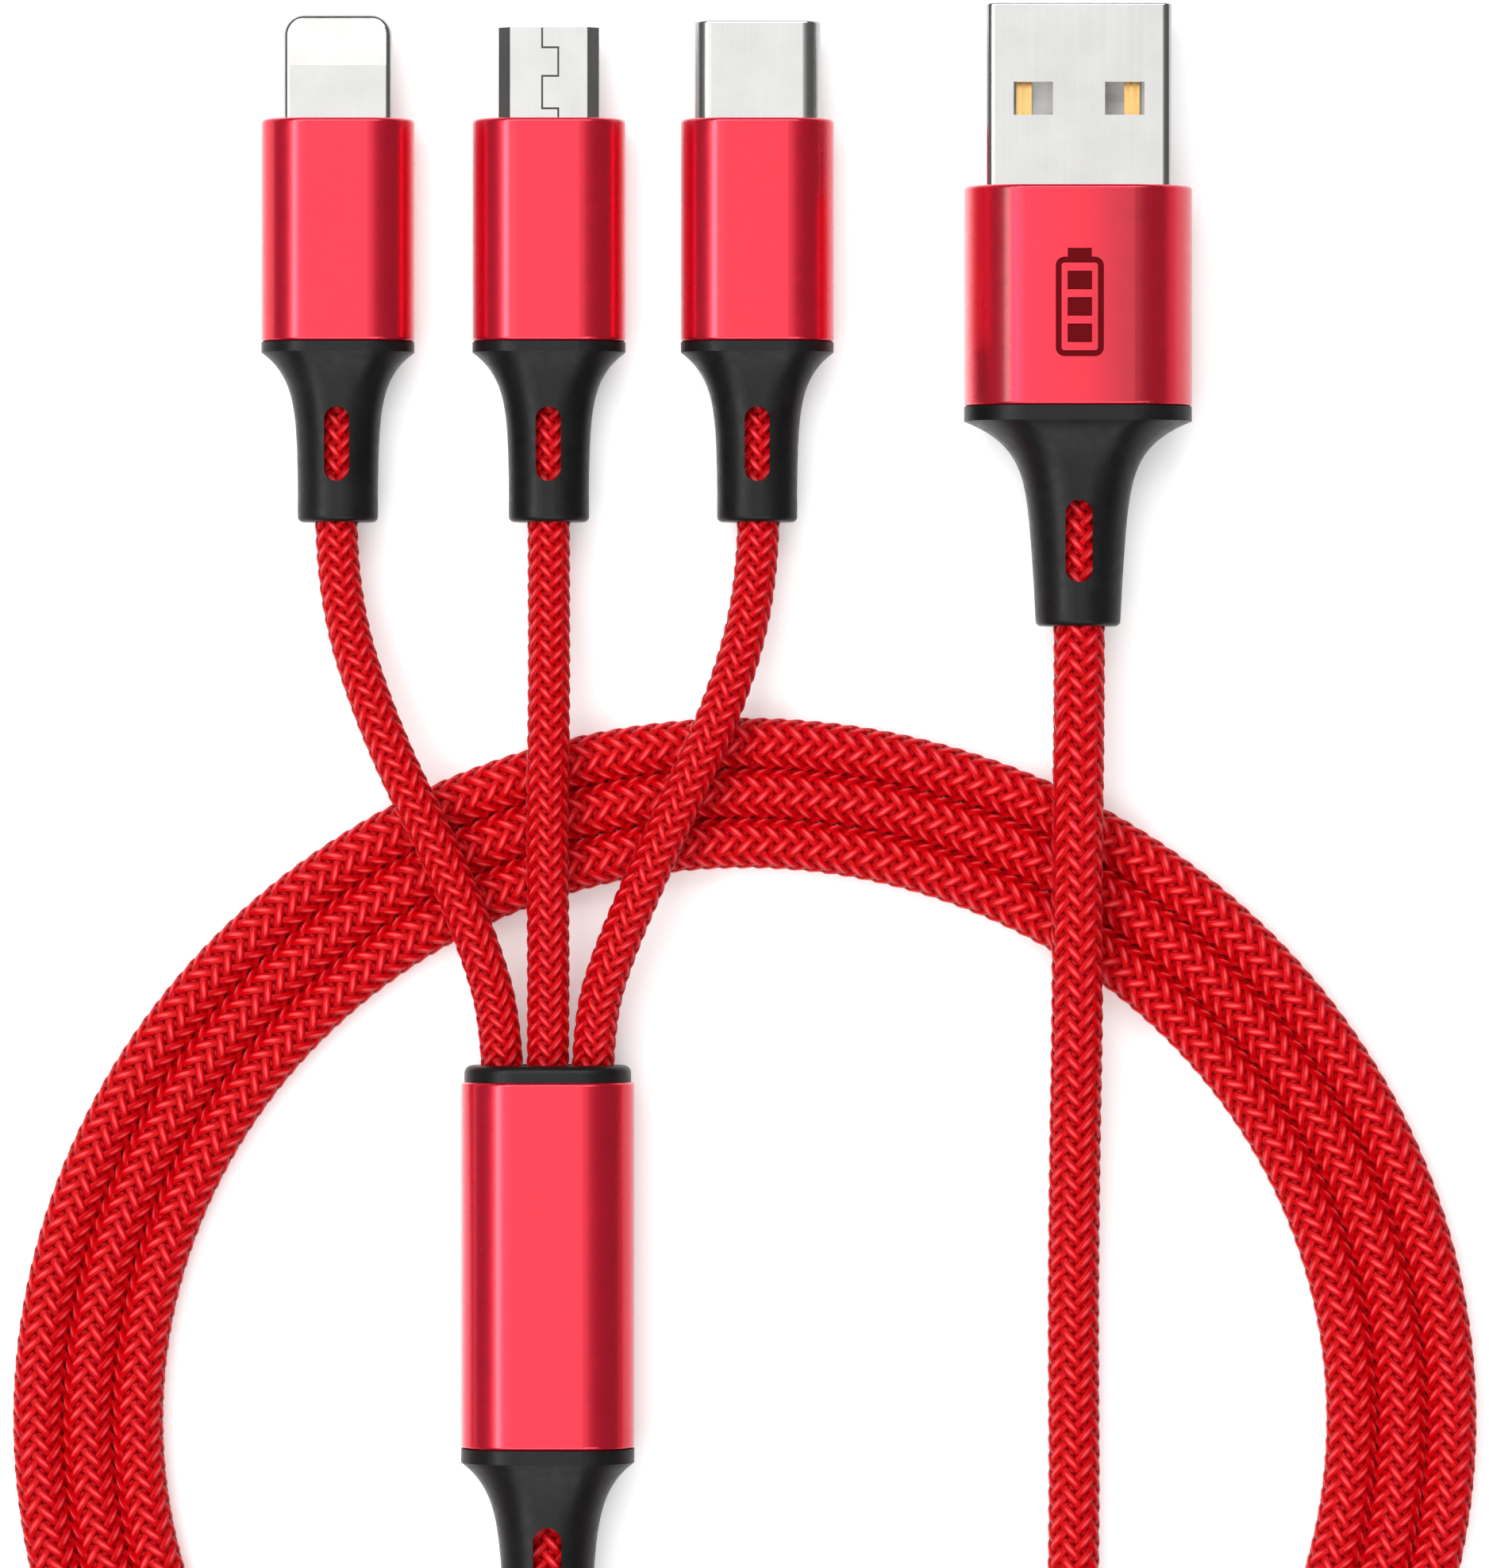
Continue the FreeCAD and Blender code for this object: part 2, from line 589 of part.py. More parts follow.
def make_small_plug(name, section):
    """Make what the three small plugs share round their own metal tips."""
    opening = fitted(*section)
    make_casing(name, "small", opening)
    make_boot(name, "small", "Dims.branch_cord")
    make_mould(
        name,
        "small",
        opening,
        "Dims.tail_long + Dims.fit",
        ("Dims.cavity_wide", "Dims.cavity_thick"),
        "Dims.cavity_end",
        "Dims.branch_cord",
        "Dims.casing_front_wall",
    )
    make_crimp(name, "small", "Dims.branch_cord", "Dims.cord_depth")


def hollow_shell(name, kind, wide, thick, corner, wall, reach):
    """Make a folded sheet-metal shell that is open at both ends."""
    body = new_body(f"{name}_shell", plug_place(name, kind))
    sketch = section_sketch(body, f"-{reach}")
    rounded_rectangle(sketch, wide, thick, corner)
    length = f"{reach} + Dims.tail_long"
    sleeve = pad(body, sketch, length)
    tip = number(reach)
    round_edges(
        body,
        sleeve,
        "Dims.tip_edge",
        lambda edge: across_cord(edge) and abs(edge.BoundBox.YMin - tip) < NEAR,
    )
    inner = section_sketch(body, "Dims.tail_long")
    rounded_rectangle(inner, f"{wide} - 2 * {wall}", f"{thick} - 2 * {wall}", f"{corner} - {wall}")
    pocket(body, inner, length)
    return body


def make_host_shell():
    """Make the host shell with two square windows in each face."""
    body = hollow_shell(
        "host",
        "host",
        "Dims.host_shell_wide",
        "Dims.host_shell_thick",
        "Dims.host_shell_round",
        "Dims.host_shell_wall",
        "Dims.host_shell_out",
    )
    forward = "Dims.host_shell_out - Dims.host_hole_from_tip"
    for side in ("-", ""):
        across = f"{side}Dims.host_hole_apart / 2"
        hole = plan_sketch(body, "Dims.host_shell_thick / 2", across, forward)
        block_outline(hole, "Dims.host_hole_wide", "Dims.host_hole_long")
        pocket(body, hole, "Dims.host_shell_thick")
    return body


def make_host_tongue():
    """Make the plastic tongue and the base block that fills the shell behind it."""
    body = new_body("host_tongue", plug_place("host", "host"))
    floor = "(-Dims.host_shell_thick / 2 + Dims.host_shell_wall + Dims.fit)"
    thick = f"(Dims.host_tongue_top - {floor})"
    middle = f"(Dims.host_tongue_top + {floor}) / 2"
    tongue = section_sketch(body, "-Dims.host_shell_out + Dims.host_tongue_recess", "0", middle)
    block_outline(tongue, "Dims.host_tongue_wide", thick)
    pad(body, tongue, "Dims.host_shell_out - Dims.host_tongue_recess + Dims.tail_long")
    base = section_sketch(body, "-Dims.host_base_out")
    block_outline(base, "Dims.host_tongue_wide", f"-2 * {floor}")
    pad(body, base, "Dims.host_base_out + Dims.tail_long")
    return body


def make_host_contacts():
    """Make the four contacts: the outer pair reaches further forward."""
    blocks = []
    offsets = (
        "-Dims.host_contact_outer",
        "-Dims.host_contact_inner",
        "Dims.host_contact_inner",
        "Dims.host_contact_outer",
    )
    for index, across in enumerate(offsets):
        recess = "Dims.host_contact_recess"
        if "inner" in across:
            recess = "(Dims.host_contact_recess + Dims.host_contact_wide)"
        front = f"(Dims.host_shell_out - {recess})"
        middle = (
            across,
            f"({front} + Dims.host_base_out) / 2",
            "Dims.host_tongue_top + Dims.host_contact_thick / 2",
        )
        length = f"{front} - Dims.host_base_out"
        name = f"host_contact_{index}"
        blocks.append(block(name, middle, "Dims.host_contact_wide", length, "Dims.host_contact_thick"))
    return group("host_contacts", plug_place("host", "host"), blocks)


def engrave_battery(body):
    """Engrave a plain battery outline with three charge bars in the casing's upper face."""
    top = "Dims.host_casing_thick / 2"
    middle = "-Dims.mark_from_front"
    case = plan_sketch(body, top, "0", middle)
    corner = "Dims.mark_line * 1.5"
    rounded_rectangle(case, "Dims.mark_wide", "Dims.mark_long", corner)
    rounded_rectangle(
        case,
        "Dims.mark_wide - 2 * Dims.mark_line",
        "Dims.mark_long - 2 * Dims.mark_line",
        "Dims.mark_line / 2",
    )
    pocket(body, case, "Dims.mark_depth")
    nub = plan_sketch(body, top, "0", f"{middle} + Dims.mark_long / 2 + Dims.mark_line * 0.3")
    block_outline(nub, "Dims.mark_wide / 2", "Dims.mark_line * 2.4")
    pocket(body, nub, "Dims.mark_depth")
    for offset in ("-Dims.mark_bar_step", "0", "Dims.mark_bar_step"):
        bar = plan_sketch(body, top, "0", f"{middle} + {offset}")
        block_outline(bar, "Dims.mark_wide - 4 * Dims.mark_line", "Dims.mark_bar_long")
        pocket(body, bar, "Dims.mark_depth")


def make_host():
    """Make the host plug."""
    opening = fitted("Dims.host_shell_wide", "Dims.host_shell_thick", "Dims.host_shell_round")
    engrave_battery(make_casing("host", "host", opening))
    make_boot("host", "host", "Dims.main_cord")
    make_mould(
        "host",
        "host",
        opening,
        "Dims.tail_long + Dims.fit",
        ("Dims.host_cavity_wide", "Dims.host_cavity_thick"),
        "Dims.cavity_end",
        "Dims.main_cord",
        "Dims.casing_front_wall",
    )
    make_crimp("host", "host", "Dims.main_cord", "Dims.cord_depth - Dims.fit")
    make_host_shell()
    make_host_tongue()
    make_host_contacts()
    make_wires("host", "host", "Dims.tail_long", "Dims.cord_depth")


def make_blade():
    """Make the blade plug: a solid metal frame with a plastic insert and pads underneath."""
    make_small_plug("blade", ("Dims.blade_wide", "Dims.blade_thick", "Dims.blade_side_round"))
    place = plug_place("blade", "small")
    frame = new_body("blade_frame", place)
    middle = "(Dims.blade_out - Dims.tail_long) / 2"
    plan = plan_sketch(frame, "-Dims.blade_thick / 2", "0", middle)
    rounded_rectangle(plan, "Dims.blade_wide", "Dims.blade_out + Dims.tail_long", "Dims.blade_corner")
    plate = pad(frame, plan, "Dims.blade_thick")
    round_edges(frame, plate, "Dims.blade_side_round", lambda edge: edge.BoundBox.ZLength < FLAT)
    forward = "Dims.blade_out - Dims.blade_border - Dims.blade_insert_long / 2"
    window = plan_sketch(frame, "Dims.blade_thick / 2", "0", forward)
    corner = "(Dims.blade_corner - Dims.blade_border)"
    rounded_rectangle(window, "Dims.blade_insert_wide", "Dims.blade_insert_long", corner)
    pocket(frame, window, "Dims.blade_thick")
    rear = "Dims.blade_out - Dims.blade_border - Dims.blade_insert_long * 3 / 4"
    square = plan_sketch(frame, "Dims.blade_thick / 2", "0", rear)
    block_outline(square, "Dims.blade_insert_wide", "Dims.blade_insert_long / 2")
    pocket(frame, square, "Dims.blade_thick")
    insert = new_body("blade_insert", place)
    low = "-Dims.blade_thick / 2 + Dims.blade_pad_thick"
    plan = plan_sketch(insert, low, "0", forward)
    rounded_rectangle(plan, "Dims.blade_insert_wide", "Dims.blade_insert_long", corner)
    insert_thick = "Dims.blade_thick - Dims.blade_pad_thick - Dims.blade_insert_recess"
    pad(insert, plan, insert_thick)
    square = plan_sketch(insert, low, "0", rear)
    block_outline(square, "Dims.blade_insert_wide", "Dims.blade_insert_long / 2")
    pad(insert, square, insert_thick)
    pads = []
    for index, across in enumerate(spread(BLADE_PADS, "Dims.blade_pad_pitch")):
        centre = (across, forward, "(-Dims.blade_thick + Dims.blade_pad_thick) / 2")
        name = f"blade_pad_{index}"
        pads.append(block(name, centre, "Dims.blade_pad_wide", "Dims.blade_pad_long", "Dims.blade_pad_thick"))
    group("blade_contacts", place, pads)
    make_board("blade", "small", "Dims.board_wide", "Dims.board_start", "Dims.board_end")
    make_wires("blade", "small", "Dims.board_end", "Dims.cord_depth")


def micro_outline(wall):
    """Return the six corners of the micro shell's section, inset by a wall."""
    low = f"-Dims.micro_thick / 2 + {wall}"
    top = f"Dims.micro_thick / 2 - {wall}"
    wide = f"(Dims.micro_wide / 2 - {wall})"
    narrow = f"(Dims.micro_narrow / 2 - {wall})"
    shoulder = f"-Dims.micro_thick / 2 + Dims.micro_side - {wall} / 2"
    return (
        (f"-{wide}", low),
        (wide, low),
        (wide, shoulder),
        (narrow, top),
        (f"-{narrow}", top),
        (f"-{wide}", shoulder),
    )


def cut_seam(body):
    """Cut the dovetailed line where the micro shell's sheet meets on its narrow side."""
    half = "Dims.seam_line / 2"
    left = "(-Dims.seam_left)"
    right = "Dims.seam_right"
    tip = "(Dims.micro_out + Dims.tail_long)"
    steps = ("Dims.seam_first", "Dims.seam_second", "Dims.seam_third")
    sides = (left, right, left, right)
    line = [(sides[0], tip)]
    for step, before, after in zip(steps, sides, sides[1:]):
        line.append((before, step))
        line.append((after, step))
    line.append((sides[-1], "-Dims.tail_long * 2"))
    for (x_from, y_from), (x_to, y_to) in zip(line, line[1:]):
        sketch = plan_sketch(body, "Dims.micro_thick / 2")
        low_x, high_x = sorted((x_from, x_to), key=number)
        low_y, high_y = sorted((y_from, y_to), key=number)
        outline(
            sketch,
            (
                (f"{low_x} - {half}", f"{low_y} - {half}"),
                (f"{high_x} + {half}", f"{low_y} - {half}"),
                (f"{high_x} + {half}", f"{high_y} + {half}"),
                (f"{low_x} - {half}", f"{high_y} + {half}"),
            ),
        )
        pocket(body, sketch, "Dims.seam_deep")


def make_micro_latch(side, sign):
    """Make one spring arm with its hook, which is pressed in as the plug goes in."""
    body = new_body(f"micro_latch_{side}", plug_place("micro", "small"))
    low = "(-Dims.micro_thick / 2 + Dims.micro_wall + Dims.latch_gap)"
    across = f"{sign}Dims.latch_offset"
    arm = section_sketch(body, "-Dims.latch_reach", across, f"{low} + Dims.latch_thick / 2")
    block_outline(arm, "Dims.latch_wide", "Dims.latch_thick")
    pad(body, arm, "Dims.latch_reach + Dims.latch_tail")
    bottom = "(-Dims.micro_thick / 2 - Dims.hook_drop)"
    hook = new_sketch(body, "YZ_Plane", f"{across} - Dims.latch_wide / 2")
    outline(
        hook,
        (
            ("Dims.hook_start", low),
            ("Dims.hook_start", bottom),
            ("Dims.hook_start + Dims.hook_long / 3", bottom),
            ("Dims.hook_start + Dims.hook_long", low),
        ),
    )
    pad(body, hook, "Dims.latch_wide")


def make_micro():
    """Make the micro plug: a six-sided shell with a tongue, five contacts and two latches."""
    make_small_plug("micro", ("Dims.micro_wide", "Dims.micro_thick", "Dims.fit"))
    place = plug_place("micro", "small")
    shell = new_body("micro_shell", place)
    length = "Dims.micro_out + Dims.tail_long"
    outer = section_sketch(shell, "-Dims.micro_out")
    outline(outer, micro_outline("0"))
    pad(shell, outer, length)
    inner = section_sketch(shell, "Dims.tail_long")
    outline(inner, micro_outline("Dims.micro_wall"))
    pocket(shell, inner, length)
    for sign in ("-", ""):
        forward = "Dims.hook_start + Dims.hook_long / 2"
        inner_face = "-Dims.micro_thick / 2 + Dims.micro_wall"
        slot = plan_sketch(shell, inner_face, f"{sign}Dims.latch_offset", forward)
        block_outline(slot, "Dims.latch_wide + 2 * Dims.hook_gap", "Dims.hook_long + 2 * Dims.hook_gap")
        pocket(shell, slot, "Dims.micro_wall * 2")
    cut_seam(shell)
    core = new_body("micro_insulator", place)
    roof = "(Dims.micro_thick / 2 - Dims.micro_wall - Dims.fit)"
    tongue_middle = f"({roof} + Dims.micro_tongue_under) / 2"
    tongue = section_sketch(core, "-Dims.micro_out + Dims.micro_wall", "0", tongue_middle)
    block_outline(tongue, "Dims.micro_core_wide", f"{roof} - Dims.micro_tongue_under")
    pad(core, tongue, "Dims.micro_out - Dims.micro_wall + Dims.tail_long")
    base = section_sketch(core, "-Dims.micro_core_out")
    block_outline(base, "Dims.micro_core_wide", f"2 * {roof}")
    pad(core, base, "Dims.micro_core_out + Dims.tail_long")
    contacts = []
    reach = "(Dims.micro_out - 4 * Dims.micro_wall)"
    for index, across in enumerate(spread(MICRO_CONTACTS, "Dims.micro_contact_pitch")):
        middle = (
            across,
            f"({reach} + Dims.micro_core_out) / 2",
            "Dims.micro_tongue_under - Dims.micro_contact_thick / 2",
        )
        name = f"micro_contact_{index}"
        length = f"{reach} - Dims.micro_core_out"
        contacts.append(block(name, middle, "Dims.micro_contact_wide", length, "Dims.micro_contact_thick"))
    group("micro_contacts", place, contacts)
    make_micro_latch("left", "-")
    make_micro_latch("right", "")
    make_wires("micro", "small", "Dims.tail_long", "Dims.cord_depth")


def make_side_latch(side, sign):
    """Make one of the flat springs that hold the type C plug, with its nose turned inwards."""
    body = new_body(f"type_c_latch_{side}", plug_place("type_c", "small"))
    start = "(Dims.mouth_end + Dims.hook_gap)"
    inner = f"{sign}(Dims.spring_offset - Dims.spring_thick / 2)"
    outer = f"{sign}(Dims.spring_offset + Dims.spring_thick / 2)"
    nose = f"{sign}(Dims.spring_offset - Dims.spring_thick / 2 - Dims.nose_deep)"
    plan = plan_sketch(body, "-Dims.spring_high / 2")
    outline(
        plan,
        (
            (inner, start),
            (outer, start),
            (outer, "Dims.spring_reach"),
            (inner, "Dims.spring_reach"),
            (nose, "Dims.spring_reach - Dims.nose_long / 2"),
            (inner, "Dims.spring_reach - Dims.nose_long"),
        ),
    )
    pad(body, plan, "Dims.spring_high")


def make_type_c():
    """Make the type C plug: an oval shell, a housing with two rows of contacts, two latches."""
    section = ("Dims.type_c_wide", "Dims.type_c_thick", "Dims.type_c_round")
    make_small_plug("type_c", section)
    hollow_shell("type_c", "small", *section, "Dims.type_c_wall", "Dims.type_c_out")
    place = plug_place("type_c", "small")
    housing = new_body("type_c_housing", place)
    front = "(Dims.type_c_out - Dims.type_c_recess)"
    less = "2 * (Dims.type_c_wall + Dims.fit)"
    outer = section_sketch(housing, f"-{front}")
    rounded_rectangle(
        outer,
        f"Dims.type_c_wide - {less}",
        f"Dims.type_c_thick - {less}",
        "Dims.type_c_round - Dims.type_c_wall - Dims.fit",
    )
    pad(housing, outer, f"{front} + Dims.housing_end")
    mouth = section_sketch(housing, "-Dims.mouth_end")
    block_outline(mouth, "Dims.mouth_wide", "Dims.mouth_thick")
    pocket(housing, mouth, f"{front} - Dims.mouth_end")
    for name, sign in (("upper", ""), ("lower", "-")):
        pins = []
        for index, across in enumerate(spread(TYPE_C_CONTACTS, "Dims.pin_pitch")):
            middle = (
                across,
                "Dims.mouth_end + Dims.pin_long / 2",
                f"{sign}(Dims.mouth_thick / 2 - Dims.pin_thick / 2)",
            )
            pin = f"type_c_pin_{name}_{index}"
            pins.append(block(pin, middle, "Dims.pin_wide", "Dims.pin_long", "Dims.pin_thick"))
        group(f"type_c_contacts_{name}", place, pins)
    make_side_latch("left", "-")
    make_side_latch("right", "")
    make_board("type_c", "small", "Dims.board_wide", "Dims.board_start", "Dims.board_end")
    make_wires("type_c", "small", "Dims.board_end", "Dims.cord_depth")


def make_splitter():
    """Make the splitter: a sleeve with a cap, a board, an inner mould and a boot."""
    make_casing("splitter", "splitter")
    make_boot("splitter", "splitter", "Dims.main_cord")
    place = plug_place("splitter", "splitter")
    cap = new_body("splitter_cap", place)
    flange = section_sketch(cap, "-Dims.cap_out")
    rounded_rectangle(flange, "Dims.cap_wide", "Dims.cap_thick", "Dims.cap_thick * Dims.round_share")
    plate = pad(cap, flange, "Dims.cap_out")
    front = number("Dims.cap_out")
    round_edges(
        cap,
        plate,
        "Dims.cap_edge",
        lambda edge: across_cord(edge) and abs(edge.BoundBox.YMin - front) < NEAR,
    )
    spigot = section_sketch(cap, "0")
    rounded_rectangle(spigot, *inside("splitter"))
    pad(cap, spigot, "Dims.cap_spigot")
    slot = section_sketch(cap, "Dims.cap_spigot")
    high = "(Dims.branch_cord + 2 * Dims.fit)"
    wide = f"{CAP_CORDS - 1} * Dims.branch_row + {high}"
    rounded_rectangle(slot, wide, high, f"{high} * {LARGEST_ROUND}")
    pocket(cap, slot, "Dims.cap_out + Dims.cap_spigot")
    make_mould(
        "splitter",
        "splitter",
        None,
        "Dims.cap_spigot + Dims.fit",
        ("Dims.splitter_board_wide + 2 * Dims.fit", "Dims.splitter_cavity_thick"),
        "Dims.splitter_cord_depth",
        "Dims.main_cord",
        "Dims.cap_spigot + Dims.fit",
    )
    crimp_start = "Dims.splitter_cord_depth + Dims.fit"
    make_crimp("splitter", "splitter", "Dims.main_cord", crimp_start)
    board_start = "Dims.splitter_board_start"
    board_end = "Dims.splitter_board_end"
    make_board("splitter", "splitter", "Dims.splitter_board_wide", board_start, board_end)
    rods = []
    for cord, middle in enumerate(spread(CAP_CORDS, "Dims.branch_row")):
        for index, across in enumerate(spread(2, "Dims.wire_pitch")):
            name = f"splitter_branch_wire_{cord}_{index}"
            offset = f"{middle} + {across}"
            rods.append(rod(name, offset, "0", "Dims.branch_depth", board_start, "Dims.wire_size"))
    for index, across in enumerate(spread(HOST_WIRES, "Dims.wire_pitch")):
        name = f"splitter_main_wire_{index}"
        rods.append(rod(name, across, "0", board_end, "Dims.splitter_cord_depth", "Dims.wire_size"))
    group("splitter_wires", place, rods)


def cord_path(label, points):
    """Join a cord's straight runs with tangent arcs, and print the arcs' radii."""
    edges = []
    radii = []
    begin = points[0]
    for before, corner, after in zip(points, points[1:], points[2:]):
        back = (before - corner).normalize()
        ahead = (after - corner).normalize()
        reach = TANGENT_SHARE * min((before - corner).Length, (after - corner).Length)
        half_turn = (math.pi - back.getAngle(ahead)) / 2
        radius = reach / math.tan(half_turn)
        inwards = (back + ahead).normalize()
        middle = corner + inwards * (radius / math.cos(half_turn) - radius)
        arc_start = corner + back * reach
        arc_end = corner + ahead * reach
        edges.append(Part.LineSegment(begin, arc_start).toShape())
        edges.append(Part.Arc(arc_start, middle, arc_end).toShape())
        radii.append(round(radius, 1))
        begin = arc_end
    edges.append(Part.LineSegment(begin, points[-1]).toShape())
    print(label, "radii", radii)
    return Part.Wire(edges)


def make_cord(label, diameter, route):
    """Make the plain solid of a stretch of cord that lies free."""
    points = [vector(*point) for point in route]
    path = cord_path(label, points)
    ring = Part.Circle(points[0], points[1] - points[0], diameter / 2)
    tube = path.makePipeShell([Part.Wire([ring.toShape()])], True, True)
    section = math.pi * diameter**2 / 4
    ratio = tube.Volume / section / path.Length
    print(label, "length", round(path.Length, 1), "volume ratio", round(ratio, 4))
    cord = doc.addObject("Part::Feature", label)
    cord.Label = label
    cord.Shape = tube
    subparts.append(cord)


def make_branch_cords():
    """Make the three branch cords, which pass over the coil on their way to the splitter."""
    diameter = size("branch_cord")
    start = size("small_front") - size("cord_depth")
    level = size("small_casing_thick") / 2
    end = size("splitter_front") - size("branch_depth")
    end_level = size("splitter_casing_thick") / 2
    middle = size("splitter_axis")
    blade = size("blade_axis")
    micro = size("micro_axis")
    type_c = size("type_c_axis")
    left_end = middle - size("branch_row")
    right_end = middle + size("branch_row")
    make_cord(
        "branch_cord_blade",
        diameter,
        (
            (blade, start, level),
            (blade - 0.02, 26.5, level + 0.02),
            (blade - 0.15, 15.0, 3.6),
            (-22.3, 5.8, 5.25),
            (-18.2, -2.3, 5.5),
            (-15.9, -8.0, 5.2),
            (-14.6, -12.6, 3.75),
            (left_end, end, end_level),
        ),
    )
    make_cord(
        "branch_cord_micro",
        diameter,
        (
            (micro, start, level),
            (micro - 0.02, 26.5, level + 0.02),
            (micro, 16.6, 3.6),
            (micro + 0.05, 8.0, 5.25),
            (micro - 0.08, 0.2, 5.5),
            (micro, -7.4, 5.25),
            (middle + 0.03, -12.6, 3.75),
            (middle, end, end_level),
        ),
    )
    make_cord(
        "branch_cord_type_c",
        diameter,
        (
            (type_c, start, level),
            (type_c + 0.02, 26.5, level + 0.02),
            (type_c + 0.15, 16.4, 3.6),
            (0.3, 8.6, 5.25),
            (-4.2, -1.1, 5.5),
            (-7.4, -8.5, 5.1),
            (-8.6, -12.8, 3.75),
            (right_end, end, end_level),
        ),
    )


def make_main_cord():
    """Make the main cord: a tail from the host plug, the coil, and a tail to the splitter."""
    diameter = size("main_cord")
    floor = diameter / 2
    host = size("host_axis")
    level = size("host_casing_thick") / 2
    make_cord(
        "main_cord_host_end",
        diameter,
        (
            (host, size("host_front") - size("cord_depth"), level),
            (host + 0.02, 21.5, level + 0.02),
            (host + 0.08, 10.6, 4.5),
            (host - 0.03, 3.2, 5.7),
            (host - 0.12, -4.2, 5.85),
            (host - 0.08, -12.0, 5.6),
            (host - 0.2, -22.0, 3.1),
            (host - 0.25, -33.0, floor + 0.1),
            (host - 0.15, -45.0, floor),
            (host - 0.4, -56.5, floor),
            (17.0, -67.5, floor),
            (7.0, -74.3, floor),
            (-4.5, -75.9, floor),
        ),
    )
    middle = size("splitter_axis")
    level = size("splitter_casing_thick") / 2
    end = size("splitter_front") - size("splitter_cord_depth")
    make_cord(
        "main_cord_splitter_end",
        diameter,
        (
            (38.9, -63.8, floor),
            (34.2, -70.2, 2.7),
            (26.6, -76.4, 4.9),
            (16.5, -80.9, 5.4),
            (4.5, -81.0, 5.45),
            (-5.5, -75.8, 5.35),
            (-10.8, -67.0, 4.7),
            (middle - 0.05, -57.0, level + 0.05),
            (middle + 0.02, -46.0, level),
            (middle, end, level),
        ),
    )
    coil = new_body("main_cord_coil", ("Dims.coil_x", "Dims.coil_y", "0"))
    ring = plan_sketch(coil, "0")
    outward = f"{COIL_TURNS - 1} * Dims.lane_step + Dims.main_cord / 2"
    for extra in (outward, "-Dims.main_cord / 2"):
        draw_ellipse(ring, f"Dims.lane_wide + {extra}", f"Dims.lane_deep + {extra}")
    annulus = pad(coil, ring, "Dims.main_cord")
    round_edges(coil, annulus, "Dims.coil_edge", lambda edge: edge.BoundBox.ZLength < FLAT)


def draw_ellipse(sketch, half_wide, half_deep):
    """Draw an ellipse about the sketch's origin, with its long axis across."""
    wide = number(half_wide)
    deep = number(half_deep)
    shape = Part.Ellipse(vector(wide, 0), vector(0, deep), vector(0, 0))
    index = sketch.addGeometry(shape)
    long_axis = sketch.addGeometry(Part.LineSegment(vector(-wide, 0), vector(wide, 0)), True)
    short_axis = sketch.addGeometry(Part.LineSegment(vector(0, -deep), vector(0, deep)), True)
    sketch.addConstraint(Sketcher.Constraint("InternalAlignment:EllipseMajorDiameter", long_axis, index))
    sketch.addConstraint(Sketcher.Constraint("InternalAlignment:EllipseMinorDiameter", short_axis, index))
    sketch.addConstraint(Sketcher.Constraint("Coincident", index, 3, -1, 1))
    sketch.addConstraint(Sketcher.Constraint("Horizontal", long_axis))
    bind(sketch, Sketcher.Constraint("Distance", long_axis, 2 * wide), f"2 * ({half_wide})")
    bind(sketch, Sketcher.Constraint("Distance", short_axis, 2 * deep), f"2 * ({half_deep})")


def check_document():
    """Stop if any object failed or any sub-part's shape is missing or invalid."""
    doc.recompute()
    for item in doc.Objects:
        if "Invalid" in item.State or "Error" in item.State:
            raise RuntimeError(f"{item.Label} failed: {item.State}")
    for item in subparts:
        if item.Shape.isNull() or not item.Shape.isValid() or not item.Shape.Solids:
            raise RuntimeError(f"{item.Label} has no valid solid")


def write_parts():
    """Write each sub-part to a STEP file that bears its label."""
    os.makedirs("parts", exist_ok=True)
    for item in subparts:
        item.Shape.exportStep(f"parts/{item.Label}.step")
        box = item.Shape.BoundBox
        print(
            f"{item.Label:24s} solids {len(item.Shape.Solids):2d} volume {item.Shape.Volume:8.2f}",
            f"X {box.XMin:.2f} {box.XMax:.2f} Y {box.YMin:.2f} {box.YMax:.2f}",
            f"Z {box.ZMin:.2f} {box.ZMax:.2f}",
        )


make_host()
make_blade()
make_micro()
make_type_c()
make_splitter()
make_branch_cords()
make_main_cord()
check_document()
write_parts()
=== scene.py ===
import math

